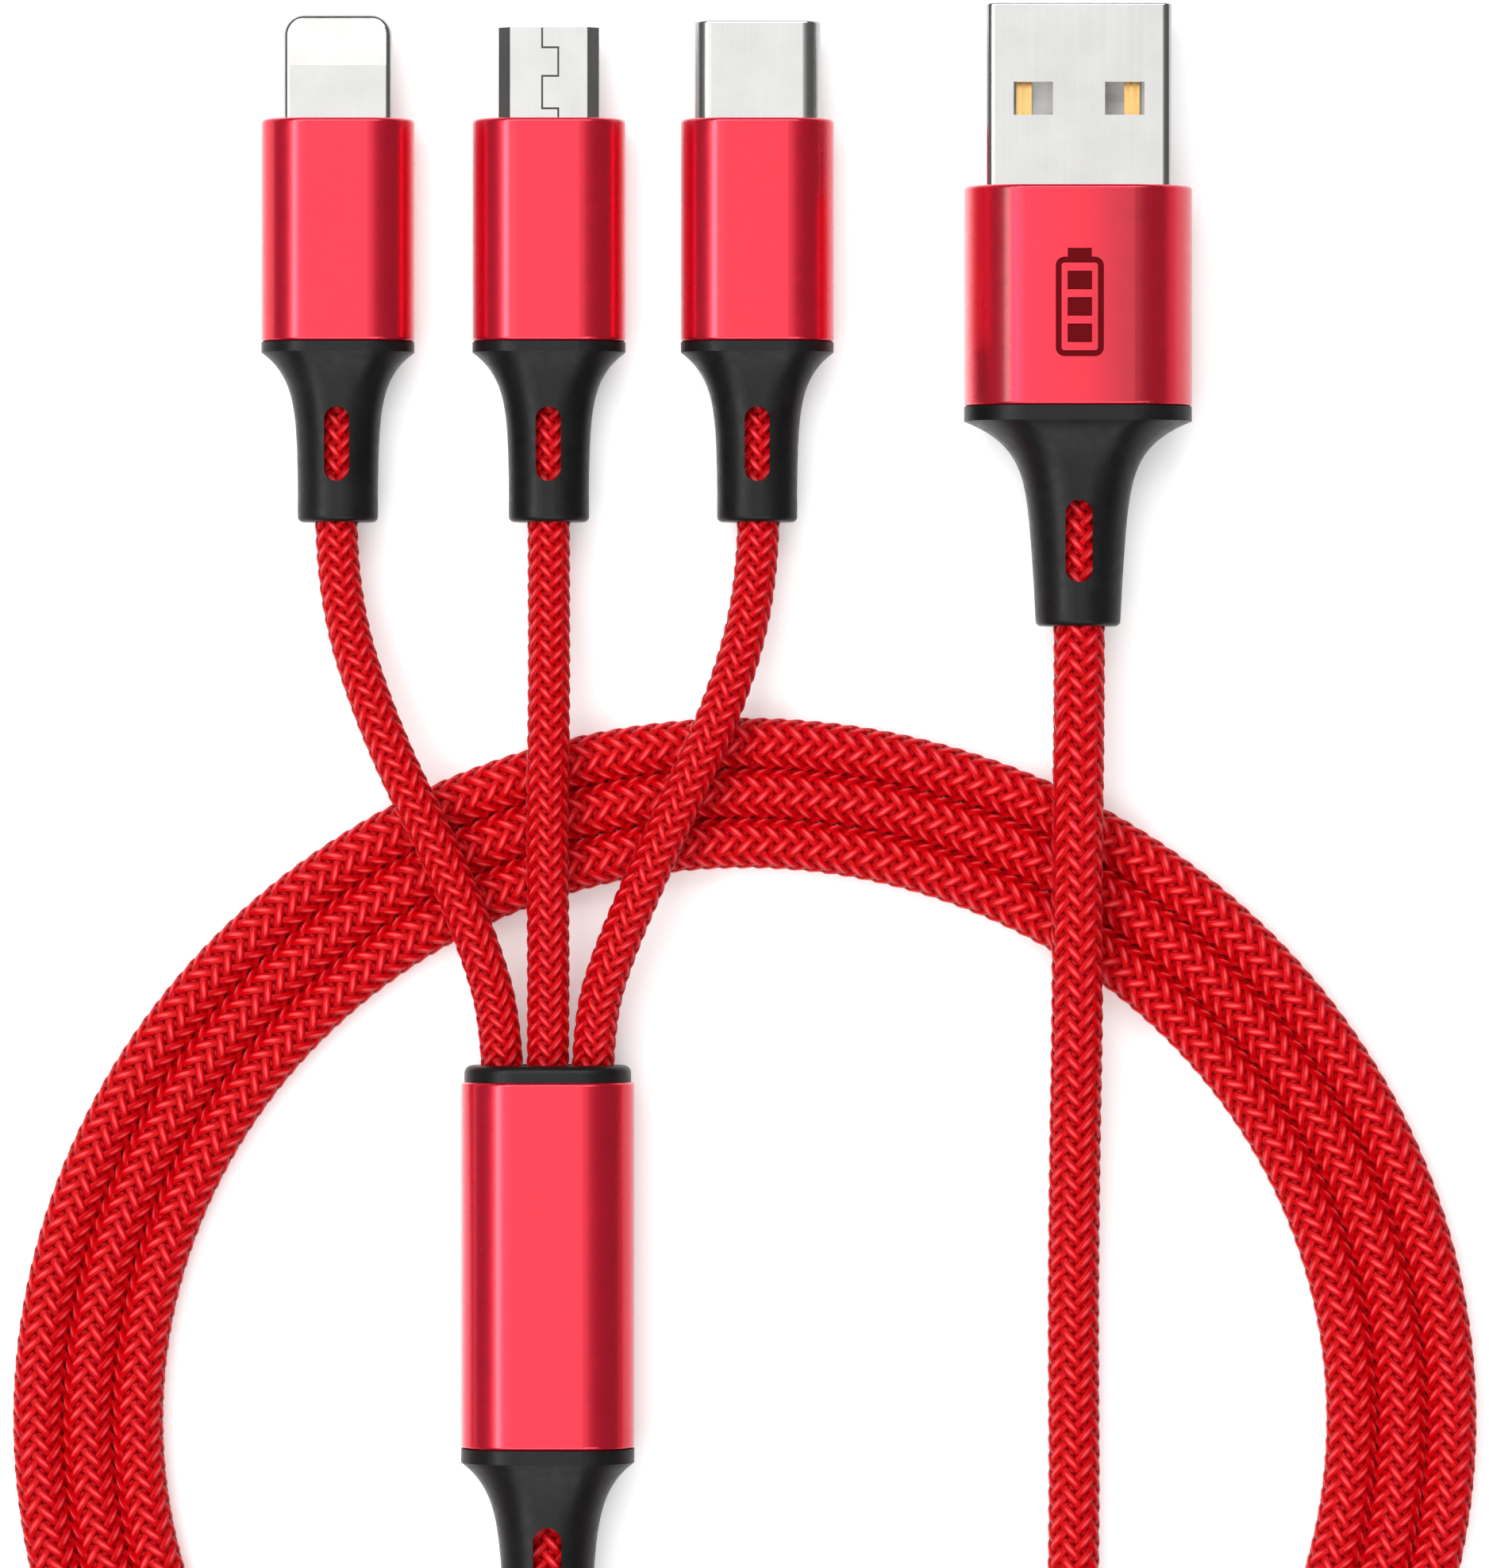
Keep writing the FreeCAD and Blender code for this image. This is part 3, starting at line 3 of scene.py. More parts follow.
import bpy
import numpy as np
from bpy.props import FloatProperty, FloatVectorProperty, IntProperty, PointerProperty
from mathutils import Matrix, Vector


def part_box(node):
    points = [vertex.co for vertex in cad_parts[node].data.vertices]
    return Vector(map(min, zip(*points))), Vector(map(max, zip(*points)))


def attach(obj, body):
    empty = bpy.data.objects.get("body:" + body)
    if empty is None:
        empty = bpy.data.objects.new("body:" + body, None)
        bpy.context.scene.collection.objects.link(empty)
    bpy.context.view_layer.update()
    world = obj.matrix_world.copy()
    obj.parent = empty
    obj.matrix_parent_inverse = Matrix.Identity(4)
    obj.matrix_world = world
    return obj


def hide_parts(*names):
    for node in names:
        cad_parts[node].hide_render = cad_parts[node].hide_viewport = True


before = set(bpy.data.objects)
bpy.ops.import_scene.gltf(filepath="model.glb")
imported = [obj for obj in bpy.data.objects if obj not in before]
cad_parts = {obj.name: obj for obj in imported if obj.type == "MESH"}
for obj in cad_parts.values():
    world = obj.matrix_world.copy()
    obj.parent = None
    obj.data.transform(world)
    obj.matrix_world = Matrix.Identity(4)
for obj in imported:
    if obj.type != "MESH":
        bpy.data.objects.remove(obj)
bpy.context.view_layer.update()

bl_info = {
    "name": "Charging Cable Looks",
    "version": (1, 0, 0),
    "blender": (4, 5, 0),
    "location": "3D View > Sidebar > Cable",
    "description": "Gives a packed charging cable its braid, its finishes, its camera and its light",
    "category": "Object",
}

ROOT = "root"
MM = 0.001

PLUGS = ("host", "blade", "micro", "type_c")
SMALL_PLUGS = ("blade", "micro", "type_c")
COIL_TURNS = 3
POINTS_PER_TURN = 24
LYING_HEIGHT = 1.65  # height of the main cord's centre line on the surface, in millimetres
ROUTE_RESOLUTION = 16
CORE_RADIUS = {"branch": 0.395, "main": 0.405}  # as a share of the cord's diameter
CARRIERS = 20


# ---------------------------------------------------------------- sizes and colours


class CableSizes(bpy.types.PropertyGroup):
    """Sizes of the cords, the braid and the coil."""

    branch_cord: FloatProperty(
        name="Branch cord",
        description="Outer diameter of a branch cord",
        default=2.8 * MM,
        unit="LENGTH",
        precision=5,
    )
    main_cord: FloatProperty(
        name="Main cord",
        description="Outer diameter of the main cord",
        default=3.3 * MM,
        unit="LENGTH",
        precision=5,
    )
    branch_pitch: FloatProperty(
        name="Branch braid pitch",
        description="Length in which a strand of a branch cord goes once round",
        default=10.0 * MM,
        unit="LENGTH",
        precision=5,
    )
    main_pitch: FloatProperty(
        name="Main braid pitch",
        description="Length in which a strand of the main cord goes once round",
        default=11.5 * MM,
        unit="LENGTH",
        precision=5,
    )
    samples_per_pitch: IntProperty(
        name="Samples per pitch",
        description="Points along a strand in one turn round the cord",
        default=40,
        min=16,
    )
    coil_middle: FloatVectorProperty(
        name="Coil middle",
        description="Middle of the coil on the surface",
        default=(1.2 * MM, -38.6 * MM),
        size=2,
        subtype="XYZ_LENGTH",
    )
    inner_lane: FloatVectorProperty(
        name="Inner turn",
        description="Half width and half depth of the innermost turn's centre line",
        default=(39.43 * MM, 37.46 * MM),
        size=2,
        subtype="XYZ_LENGTH",
    )
    lane_step: FloatProperty(
        name="Turn spacing",
        description="Distance from one turn of the coil to the next",
        default=3.22 * MM,
        unit="LENGTH",
        precision=5,
    )


class CableColours(bpy.types.PropertyGroup):
    """Colours of the cable's finishes, with the braid's painted highlight and painted shade."""

    braid: FloatVectorProperty(
        name="Braid",
        description="Colour of the braided sleeve",
        default=(0.66, 0.0, 0.003),
        subtype="COLOR",
        min=0.0,
        max=1.0,
    )
    # Painted highlight: put on each strand's crest where it passes over the others.
    braid_painted_highlight: FloatVectorProperty(
        name="Braid crest",
        description="Colour along the crest of a strand",
        default=(1.0, 0.1, 0.12),
        subtype="COLOR",
        min=0.0,
        max=1.0,
    )
    # Painted shade: put at the strands' edges, between them and where they pass under; the inner jacket
    # takes it too.
    braid_painted_shade: FloatVectorProperty(
        name="Braid shade",
        description="Colour deep between the strands",
        default=(0.31, 0.0, 0.002),
        subtype="COLOR",
        min=0.0,
        max=1.0,
    )
    anodised: FloatVectorProperty(
        name="Anodised casing",
        description="Colour of the casings",
        default=(0.84, 0.006, 0.038),
        subtype="COLOR",
        min=0.0,
        max=1.0,
    )
    rubber: FloatVectorProperty(
        name="Rubber",
        description="Colour of the boots",
        default=(0.006, 0.006, 0.0062),
        subtype="COLOR",
        min=0.0,
        max=1.0,
    )
    plating: FloatVectorProperty(
        name="Plating",
        description="Colour of the metal plug tips",
        default=(0.64, 0.635, 0.625),
        subtype="COLOR",
        min=0.0,
        max=1.0,
    )


def sizes():
    """Return the scene's cable sizes."""
    return bpy.context.scene.cable_sizes


def colours():
    """Return the scene's cable colours."""
    return bpy.context.scene.cable_colours


# ---------------------------------------------------------------- materials


class Finish:
    """A material under construction, with short ways to add its nodes."""

    def __init__(self, name, colour, roughness=0.5, metallic=0.0):
        self.material = bpy.data.materials.new(name)
        self.material.use_nodes = True
        self.nodes = self.material.node_tree.nodes
        self.links = self.material.node_tree.links
        self.shader = self.nodes["Principled BSDF"]
        self.shader.inputs["Base Color"].default_value = (*colour, 1.0)
        self.shader.inputs["Roughness"].default_value = roughness
        self.shader.inputs["Metallic"].default_value = metallic
        self.place = self.nodes.new("ShaderNodeTexCoord").outputs["Object"]

    def set(self, socket, value):
        """Set one of the shader's own sockets."""
        self.shader.inputs[socket].default_value = value
        return self

    def stretched(self, scale):
        """Return object coordinates stretched by three factors."""
        mapping = self.nodes.new("ShaderNodeMapping")
        mapping.inputs["Scale"].default_value = scale
        self.links.new(self.place, mapping.inputs["Vector"])
        return mapping.outputs["Vector"]

    def noise(self, scale, detail=2.0, vector=None):
        """Return the value of a noise texture."""
        texture = self.nodes.new("ShaderNodeTexNoise")
        texture.inputs["Scale"].default_value = scale
        texture.inputs["Detail"].default_value = detail
        self.links.new(vector or self.place, texture.inputs["Vector"])
        return texture.outputs["Fac"]

    def spread(self, value, low, high):
        """Map a texture's middle values onto a range."""
        mapping = self.nodes.new("ShaderNodeMapRange")
        mapping.inputs["From Min"].default_value = 0.3
        mapping.inputs["From Max"].default_value = 0.7
        mapping.inputs["To Min"].default_value = low
        mapping.inputs["To Max"].default_value = high
        self.links.new(value, mapping.inputs["Value"])
        return mapping.outputs["Result"]

    def mix(self, value, first, second):
        """Blend two colours, each a socket or a colour, by a value."""
        blend = self.nodes.new("ShaderNodeMix")
        blend.data_type = "RGBA"
        self.links.new(value, blend.inputs[0])
        for socket, colour in ((blend.inputs[6], first), (blend.inputs[7], second)):
            if isinstance(colour, bpy.types.NodeSocket):
                self.links.new(colour, socket)
            else:
                socket.default_value = (*colour, 1.0)
        return blend.outputs[2]

    def drive(self, socket, value):
        """Link a value to one of the shader's sockets."""
        self.links.new(value, self.shader.inputs[socket])
        return self

    def math(self, operation, first, second=0.0):
        """Return the result of a sum on two values, each a socket or a number."""
        node = self.nodes.new("ShaderNodeMath")
        node.operation = operation
        for socket, value in zip(node.inputs, (first, second)):
            if isinstance(value, float):
                socket.default_value = value
            else:
                self.links.new(value, socket)
        return node.outputs["Value"]

    def bump(self, value, distance, strength=1.0, below=None):
        """Add relief of a height in metres, on top of an earlier relief."""
        relief = self.nodes.new("ShaderNodeBump")
        relief.inputs["Distance"].default_value = distance
        relief.inputs["Strength"].default_value = strength
        self.links.new(value, relief.inputs["Height"])
        if below is not None:
            self.links.new(below, relief.inputs["Normal"])
        self.links.new(relief.outputs["Normal"], self.shader.inputs["Normal"])
        return relief.outputs["Normal"]

    def within(self, low, high):
        """Return one inside the box between two corners, and zero outside it."""
        split = self.nodes.new("ShaderNodeSeparateXYZ")
        self.links.new(self.place, split.inputs["Vector"])
        inside = 1.0
        for axis, least, most in zip("XYZ", low, high):
            above = self.math("GREATER_THAN", split.outputs[axis], least)
            below = self.math("LESS_THAN", split.outputs[axis], most)
            inside = self.math("MULTIPLY", inside, self.math("MULTIPLY", above, below))
        return inside

    def sunk(self, where, colour, roughness):
        """Cover the places where a value is one with a dull, darker surface: an engraved mark's own colour,
        and painted shade on the edges inside a seam.
        """
        dull = self.nodes.new("ShaderNodeBsdfPrincipled")
        dull.inputs["Base Color"].default_value = (*colour, 1.0)
        dull.inputs["Roughness"].default_value = roughness
        dull.inputs["Specular IOR Level"].default_value = 0.1
        cover = self.nodes.new("ShaderNodeMixShader")
        self.links.new(where, cover.inputs[0])
        self.links.new(self.shader.outputs["BSDF"], cover.inputs[1])
        self.links.new(dull.outputs["BSDF"], cover.inputs[2])
        self.links.new(cover.outputs["Shader"], self.nodes["Material Output"].inputs["Surface"])
        return self


def shade(colour, factor):
    """Return a colour made lighter or darker."""
    return tuple(min(1.0, part * factor) for part in colour)


def fill_ramp(ramp, stops):
    """Give a colour ramp its stops, each a position and a colour."""
    elements = ramp.color_ramp.elements
    while len(elements) < len(stops):
        elements.new(0.5)
    for element, (position, colour) in zip(elements, stops):
        element.position = position
        element.color = (*colour, 1.0)


def anodised_finish(name="anodised_red"):
    """Satin anodised aluminium with a bead-blasted grain."""
    colour = colours().anodised
    finish = Finish(name, colour, metallic=0.72)
    finish.set("Coat Weight", 0.45).set("Coat IOR", 1.8).set("Coat Roughness", 0.2)
    cloud = finish.spread(finish.noise(260.0, 3.0), 0.0, 1.0)
    finish.drive("Base Color", finish.mix(cloud, shade(colour, 0.95), colour))
    finish.drive("Roughness", finish.spread(finish.noise(900.0, 3.0), 0.26, 0.31))
    finish.grain = finish.bump(finish.noise(14000.0, 2.0), 0.000002, 0.4)
    return finish


def host_casing_finish():
    """The same anodising on a slightly crowned face, with an engraved battery, dark inside."""
    crown_radius = 27.0 * MM
    mark_reach = 1.8 * MM
    low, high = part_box("host_casing")
    finish = anodised_finish("anodised_red_marked")
    split = finish.nodes.new("ShaderNodeSeparateXYZ")
    finish.links.new(finish.place, split.inputs["Vector"])
    middle = (low.x + high.x) / 2
    across = finish.math("SUBTRACT", split.outputs["X"], middle)
    # The crown as a height in metres: minus half the distance squared, over the radius.
    crown = finish.math("MULTIPLY", finish.math("MULTIPLY", across, across), -0.5 / crown_radius)
    finish.bump(crown, 1.0, 1.0, finish.grain)
    marked = finish.within(
        (middle - mark_reach, low.y + 1.0 * MM, high.z - 0.5 * MM),
        (middle + mark_reach, high.y - 1.0 * MM, high.z - 0.06 * MM),
    )
    return finish.sunk(marked, (0.13, 0.0, 0.003), 0.75)


def rubber_finish():
    """Moulded rubber with a fine spark-eroded grain."""
    colour = colours().rubber
    finish = Finish("moulded_rubber", colour)
    finish.set("Specular IOR Level", 0.25)
    cloud = finish.spread(finish.noise(500.0, 4.0), 0.0, 1.0)
    finish.drive("Base Color", finish.mix(cloud, shade(colour, 0.8), shade(colour, 1.5)))
    finish.drive("Roughness", finish.spread(finish.noise(1500.0, 3.0), 0.34, 0.46))
    finish.bump(finish.noise(9000.0, 3.0), 0.00001, 0.55)
    return finish.material


def plated_finish(name="nickel_plating"):
    """Nickel plating with faint drawing lines along the plug and handling smudges."""
    colour = colours().plating
    finish = Finish(name, colour, metallic=1.0)
    lines = finish.noise(3000.0, 2.0, finish.stretched((1.0, 0.03, 1.0)))
    smudge = finish.spread(finish.noise(350.0, 4.0), 0.0, 1.0)
    finish.drive("Base Color", finish.mix(smudge, shade(colour, 0.94), shade(colour, 1.03)))
    finish.drive("Roughness", finish.spread(lines, 0.12, 0.2))
    finish.bump(lines, 0.000002, 0.35)
    return finish


def seamed_finish():
    """The same plating on a folded shell, with painted shade on the edges inside the seam."""
    seam_reach = 1.0 * MM
    low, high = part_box("micro_shell")
    finish = plated_finish("nickel_plating_seamed")
    middle = (low.x + high.x) / 2
    inside = finish.within(
        (middle - seam_reach, low.y, high.z - 0.18 * MM),
        (middle + seam_reach, high.y - 0.02 * MM, high.z - 0.01 * MM),
    )
    # Painted shade: the edges inside the seam are covered with a dark grey.
    return finish.sunk(inside, (0.12, 0.12, 0.12), 0.6)


def spring_finish():
    """Stamped spring steel, darker than the plating."""
    finish = Finish("spring_steel", (0.55, 0.56, 0.58), metallic=1.0)
    finish.drive("Roughness", finish.spread(finish.noise(2500.0, 3.0), 0.22, 0.4))
    finish.bump(finish.noise(5000.0, 2.0, finish.stretched((1.0, 0.05, 1.0))), 0.000003, 0.4)
    return finish.material


def plastic_finish(name, colour, roughness):
    """Injection-moulded plastic with a fine grain."""
    finish = Finish(name, colour)
    cloud = finish.spread(finish.noise(600.0, 3.0), 0.0, 1.0)
    finish.drive("Base Color", finish.mix(cloud, shade(colour, 0.94), shade(colour, 1.04)))
    finish.drive("Roughness", finish.spread(finish.noise(1200.0, 2.0), roughness - 0.06, roughness + 0.06))
    finish.bump(finish.noise(8000.0, 2.0), 0.000004, 0.4)
    return finish.material


def gold_finish():
    """Gold plating on the contacts, with fine wiping marks along the plug."""
    finish = Finish("gold_plating", (0.95, 0.58, 0.22), metallic=1.0)
    marks = finish.noise(4000.0, 2.0, finish.stretched((1.0, 0.04, 1.0)))
    finish.drive("Roughness", finish.spread(marks, 0.18, 0.34))
    finish.bump(marks, 0.000002, 0.4)
    return finish.material


def board_finish():
    """Circuit board: green solder mask over a fine glass weave."""
    finish = Finish("solder_mask", (0.02, 0.16, 0.06), roughness=0.35)
    weave = finish.nodes.new("ShaderNodeTexChecker")
    weave.inputs["Scale"].default_value = 2500.0
    finish.links.new(finish.place, weave.inputs["Vector"])
    cloud = finish.spread(finish.noise(900.0, 2.0), 0.0, 1.0)
    finish.drive("Base Color", finish.mix(cloud, (0.02, 0.13, 0.05), (0.03, 0.19, 0.08)))
    finish.bump(weave.outputs["Fac"], 0.000004, 0.4)
    return finish.material


def crimp_finish():
    """Tinned ferrule metal with a hammered face."""
    finish = Finish("crimp_tin", (0.60, 0.59, 0.57), metallic=1.0)
    dents = finish.noise(1400.0, 3.0)
    finish.drive("Roughness", finish.spread(dents, 0.3, 0.5))
    finish.bump(dents, 0.00003, 0.5)
    return finish.material


def braid_finish():
    """Braided nylon: filaments along each strand, with a painted highlight on its crest and painted shade at
    its edges, in the gaps and where it passes under.
    """
    tones = colours()
    finish = Finish("braided_nylon", tones.braid)
    finish.set("Sheen Weight", 0.01).set("Sheen Roughness", 0.4)
    finish.set("Specular IOR Level", 0.12)
    # The painted light level picks the colour, from painted shade between the strands to painted highlight
    # on their crests.
    painted_light = finish.nodes.new("ShaderNodeAttribute")
    painted_light.attribute_name = "painted_light"
    ramp = finish.nodes.new("ShaderNodeValToRGB")
    stops = (
        (0.0, tones.braid_painted_shade),
        (0.35, shade(tones.braid_painted_shade, 1.6)),
        (0.7, tones.braid),
        (0.96, tones.braid_painted_highlight),
    )
    fill_ramp(ramp, stops)
    finish.links.new(painted_light.outputs["Fac"], ramp.inputs["Fac"])
    uv = finish.nodes.new("ShaderNodeUVMap")
    uv.uv_map = "strand"
    filament = finish.nodes.new("ShaderNodeTexWave")
    filament.wave_type = "BANDS"
    filament.bands_direction = "X"
    filament.inputs["Scale"].default_value = 2.6
    filament.inputs["Distortion"].default_value = 1.2
    filament.inputs["Detail"].default_value = 1.0
    filament.inputs["Detail Scale"].default_value = 1.5
    finish.links.new(uv.outputs["UV"], filament.inputs["Vector"])
    cloud = finish.spread(finish.noise(1400.0, 3.0), 0.0, 0.22)
    finish.drive("Base Color", finish.mix(cloud, ramp.outputs["Color"], tones.braid))
    finish.drive("Roughness", finish.spread(filament.outputs["Fac"], 0.26, 0.4))
    grain = finish.bump(finish.noise(16000.0, 2.0), 0.000004, 0.3)
    finish.bump(filament.outputs["Fac"], 0.00002, 0.6, grain)
    return finish.material


def core_finish():
    """The cord's inner jacket, which shows only deep between the strands, in the braid's painted shade
    colour.
    """
    # Painted shade: the jacket takes the braid's shade colour, so the gaps between the strands look dark.
    dark = colours().braid_painted_shade
    finish = Finish("inner_jacket", dark, roughness=0.7)
    cloud = finish.spread(finish.noise(2500.0, 2.0), 0.0, 1.0)
    finish.drive("Base Color", finish.mix(cloud, shade(dark, 0.6), shade(dark, 1.2)))
    return finish.material


def cord_finishes():
    """Return the braid's and the core's materials, made once for all cords."""
    braid = bpy.data.materials.get("braided_nylon") or braid_finish()
    core = bpy.data.materials.get("inner_jacket") or core_finish()
    return braid, core


def give(node, material):
    """Give one CAD node a finish."""
    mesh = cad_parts[node].data
    mesh.materials.clear()
    mesh.materials.append(material)


# ---------------------------------------------------------------- cords


def branch_routes():
    """Return the three branch cords' control points in millimetres, from plug to splitter."""
    blade, micro, type_c = (middle_x(name + "_boot") for name in SMALL_PLUGS)
    middle = middle_x("splitter_casing")
    start, end = 35.51, -17.21
    level, end_level = 3.1, 3.5
    apart = 2.88
    return {
        "blade": (
            (blade, start, level),
            (blade - 0.02, 26.5, level + 0.02),
            (blade - 0.15, 15.0, 3.6),
            (-22.3, 5.8, 5.25),
            (-18.2, -2.3, 5.5),
            (-15.9, -8.0, 5.2),
            (-14.6, -12.6, 3.75),
            (middle - apart, end, end_level),
        ),
        "micro": (
            (micro, start, level),
            (micro - 0.02, 26.5, level + 0.02),
            (micro, 16.6, 3.6),
            (micro + 0.05, 8.0, 5.25),
            (micro - 0.08, 0.2, 5.5),
            (micro, -7.4, 5.25),
            (middle + 0.03, -12.6, 3.75),
            (middle, end, end_level),
        ),
        "type_c": (
            (type_c, start, level),
            (type_c + 0.02, 26.5, level + 0.02),
            (type_c + 0.15, 16.4, 3.6),
            (0.3, 8.6, 5.25),
            (-4.2, -1.1, 5.5),
            (-7.4, -8.5, 5.1),
            (-8.6, -12.8, 3.75),
            (middle + apart, end, end_level),
        ),
    }


def middle_x(node):
    """Return the X of a CAD node's middle, in millimetres."""
    low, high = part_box(node)
    return (low.x + high.x) / 2 / MM


def host_tail():
    """Return the main cord's control points from the host plug to the coil, in millimetres."""
    host = middle_x("host_casing")
    return [
        (host, 31.11, 4.0),
        (host + 0.02, 21.5, 4.02),
        (host + 0.08, 10.6, 4.5),
        (host - 0.03, 3.2, 5.7),
        (host - 0.12, -4.2, 5.85),
        (host - 0.08, -12.0, 5.6),
        (host - 0.2, -22.0, 3.1),
        (host - 0.25, -33.0, LYING_HEIGHT + 0.1),
        (host - 0.15, -45.0, LYING_HEIGHT),
        (host - 0.4, -56.5, LYING_HEIGHT),
        (17.0, -67.5, LYING_HEIGHT),
        (7.0, -74.3, LYING_HEIGHT),
    ]


def splitter_tail():
    """Return the main cord's control points from the coil to the splitter, in millimetres."""
    middle = middle_x("splitter_casing")
    return [
        (34.2, -70.2, 2.7),
        (26.6, -76.4, 4.9),
        (16.5, -80.9, 5.4),
        (4.5, -81.0, 5.45),
        (-5.5, -75.8, 5.35),
        (-10.8, -67.0, 4.7),
        (middle - 0.05, -57.0, 3.55),
        (middle + 0.02, -46.0, 3.5),
        (middle, -34.61, 3.5),
    ]


def eased(value):
    """Ease a value from 0 to 1."""
    value = min(1.0, max(0.0, value))
    return value * value * (3.0 - 2.0 * value)


def coil_turns():
    """Return the coil's control points in millimetres: turns side by side, clockwise."""
    start, finish = -98.0, -35.0
    shift_from, shift_over = 0.84, 0.155
    cable = sizes()
    lane = cable.lane_step / MM
    # A smooth line stays inside its control points, so they stand this much further out.
    swell = 1.0 / math.cos(math.pi / POINTS_PER_TURN)
    whole = COIL_TURNS - ((finish - start) % 360.0) / 360.0
    count = round(whole * POINTS_PER_TURN)
    points = []
    for index in range(count + 1):
        turns = whole * index / count
        full = min(int(turns), COIL_TURNS - 1)
        place = full
        if full < COIL_TURNS - 1:
            place = full + eased((turns - full - shift_from) / shift_over)
        angle = math.radians(start - 360.0 * turns)
        wide = (cable.inner_lane[0] / MM + lane * place) * swell
        deep = (cable.inner_lane[1] / MM + lane * place) * swell
        x = cable.coil_middle[0] / MM + wide * math.cos(angle)
        y = cable.coil_middle[1] / MM + deep * math.sin(angle)
        points.append((x, y, LYING_HEIGHT))
    return points


def make_route(name, points, radius, material):
    """Make a cord's own line as one smooth NURBS curve, and return it with its points."""
    curve = bpy.data.curves.new(name, "CURVE")
    curve.dimensions = "3D"
    curve.resolution_u = ROUTE_RESOLUTION
    spline = curve.splines.new("NURBS")
    spline.points.add(len(points) - 1)
    for point, place in zip(spline.points, points):
        point.co = (*(part * MM for part in place), 1.0)
    spline.order_u = 3
    spline.use_endpoint_u = True
    cord = bpy.data.objects.new(name, curve)
    bpy.context.scene.collection.objects.link(cord)
    bare = bpy.data.meshes.new_from_object(cord)
    line = np.array([vertex.co[:] for vertex in bare.vertices])
    bpy.data.meshes.remove(bare)
    curve.bevel_depth = radius
    curve.bevel_resolution = 4
    curve.use_fill_caps = True
    curve.materials.append(material)
    return cord, line


def even_line(line, step):
    """Space a line's points evenly, and return them with their distances."""
    gaps = np.linalg.norm(np.diff(line, axis=0), axis=1)
    along = np.concatenate([[0.0], np.cumsum(gaps)])
    count = max(2, round(along[-1] / step)) + 1
    at = np.linspace(0.0, along[-1], count)
    points = np.stack([np.interp(at, along, line[:, axis]) for axis in range(3)], axis=1)
    return points, at


def carried_frames(points):
    """Return two cross directions at each point, carried along the line without twist."""
    ahead = np.gradient(points, axis=0)
    ahead /= np.linalg.norm(ahead, axis=1)[:, None]
    side = np.zeros_like(points)
    first = np.cross(ahead[0], (0.0, 0.0, 1.0))
    side[0] = first / np.linalg.norm(first)
    for index in range(1, len(points)):
        carried = side[index - 1] - ahead[index] * np.dot(side[index - 1], ahead[index])
        side[index] = carried / np.linalg.norm(carried)
    return side, np.cross(side, ahead)


def make_sleeve(name, line, diameter, pitch, material, sections):
    """Weave the braided sleeve: strands that run both ways round, two over and two under."""
    points, along = even_line(line, pitch / sizes().samples_per_pitch)
    side, up = carried_frames(points)
    radius = diameter / 2
    arch = 0.085 * radius
    swing = 0.048 * radius
    body = 0.07 * radius
    middle = radius - arch - swing
    flatness = 1.7
    per_way = CARRIERS // 2
    strand_gap = 2 * math.pi / per_way
    # Half a strand's width as an angle, a little under half the gap between two strands.
    half_angle = strand_gap * 0.485
    # The strand's section: one edge, three points over its round top, the other edge, underside.
    across = np.array([-1.0, -0.55, 0.0, 0.55, 1.0, 0.0])
    height = np.array([0.0, 0.75, 1.0, 0.75, 0.0, -1.0])
    # Each corner's share of the painted highlight: most on the round top, none at the edges and underneath.
    crest = np.array([0.0, 0.45, 1.0, 0.45, 0.0, 0.0])
    count = len(points)
    turn = 2 * math.pi * along / pitch
    places = np.zeros((CARRIERS, count, len(across), 3))
    painted_light_levels = np.zeros((CARRIERS, count, len(across)))
    for strand in range(CARRIERS):
        way = 1.0 if strand < per_way else -1.0
        angle = (strand % per_way) * strand_gap + way * turn
        # Over two strands and under the next two, in columns that alternate round the cord.
        swell = way * np.cos(per_way / 2 * angle - math.pi / 4)
        wave = np.tanh(flatness * swell) / np.tanh(flatness)
        for corner in range(len(across)):
            bend = angle + across[corner] * half_angle
            rise = arch * height[corner] if height[corner] > 0 else body * height[corner]
            # The strand swings out where it passes over the others, and in where it passes under.
            reach = middle + swing * wave + rise
            out = side * np.cos(bend)[:, None] + up * np.sin(bend)[:, None]
            places[strand, :, corner] = points + out * reach[:, None]
            # Painted light: bright where the strand's crest passes over, painted shade at its edges and
            # where it passes under.
            painted_light_levels[strand, :, corner] = (0.3 + 0.7 * crest[corner]) * (0.6 + 0.4 * swell)
    pieces = []
    bounds = np.linspace(0, count - 1, sections + 1).round().astype(int)
    for index, (low, high) in enumerate(zip(bounds, bounds[1:])):
        label = name if sections == 1 else f"{name}_{index + 1}"
        some = places[:, low : high + 1]
        pieces.append(strand_mesh(label, some, painted_light_levels[:, low : high + 1], along[low : high + 1], material))
    return pieces


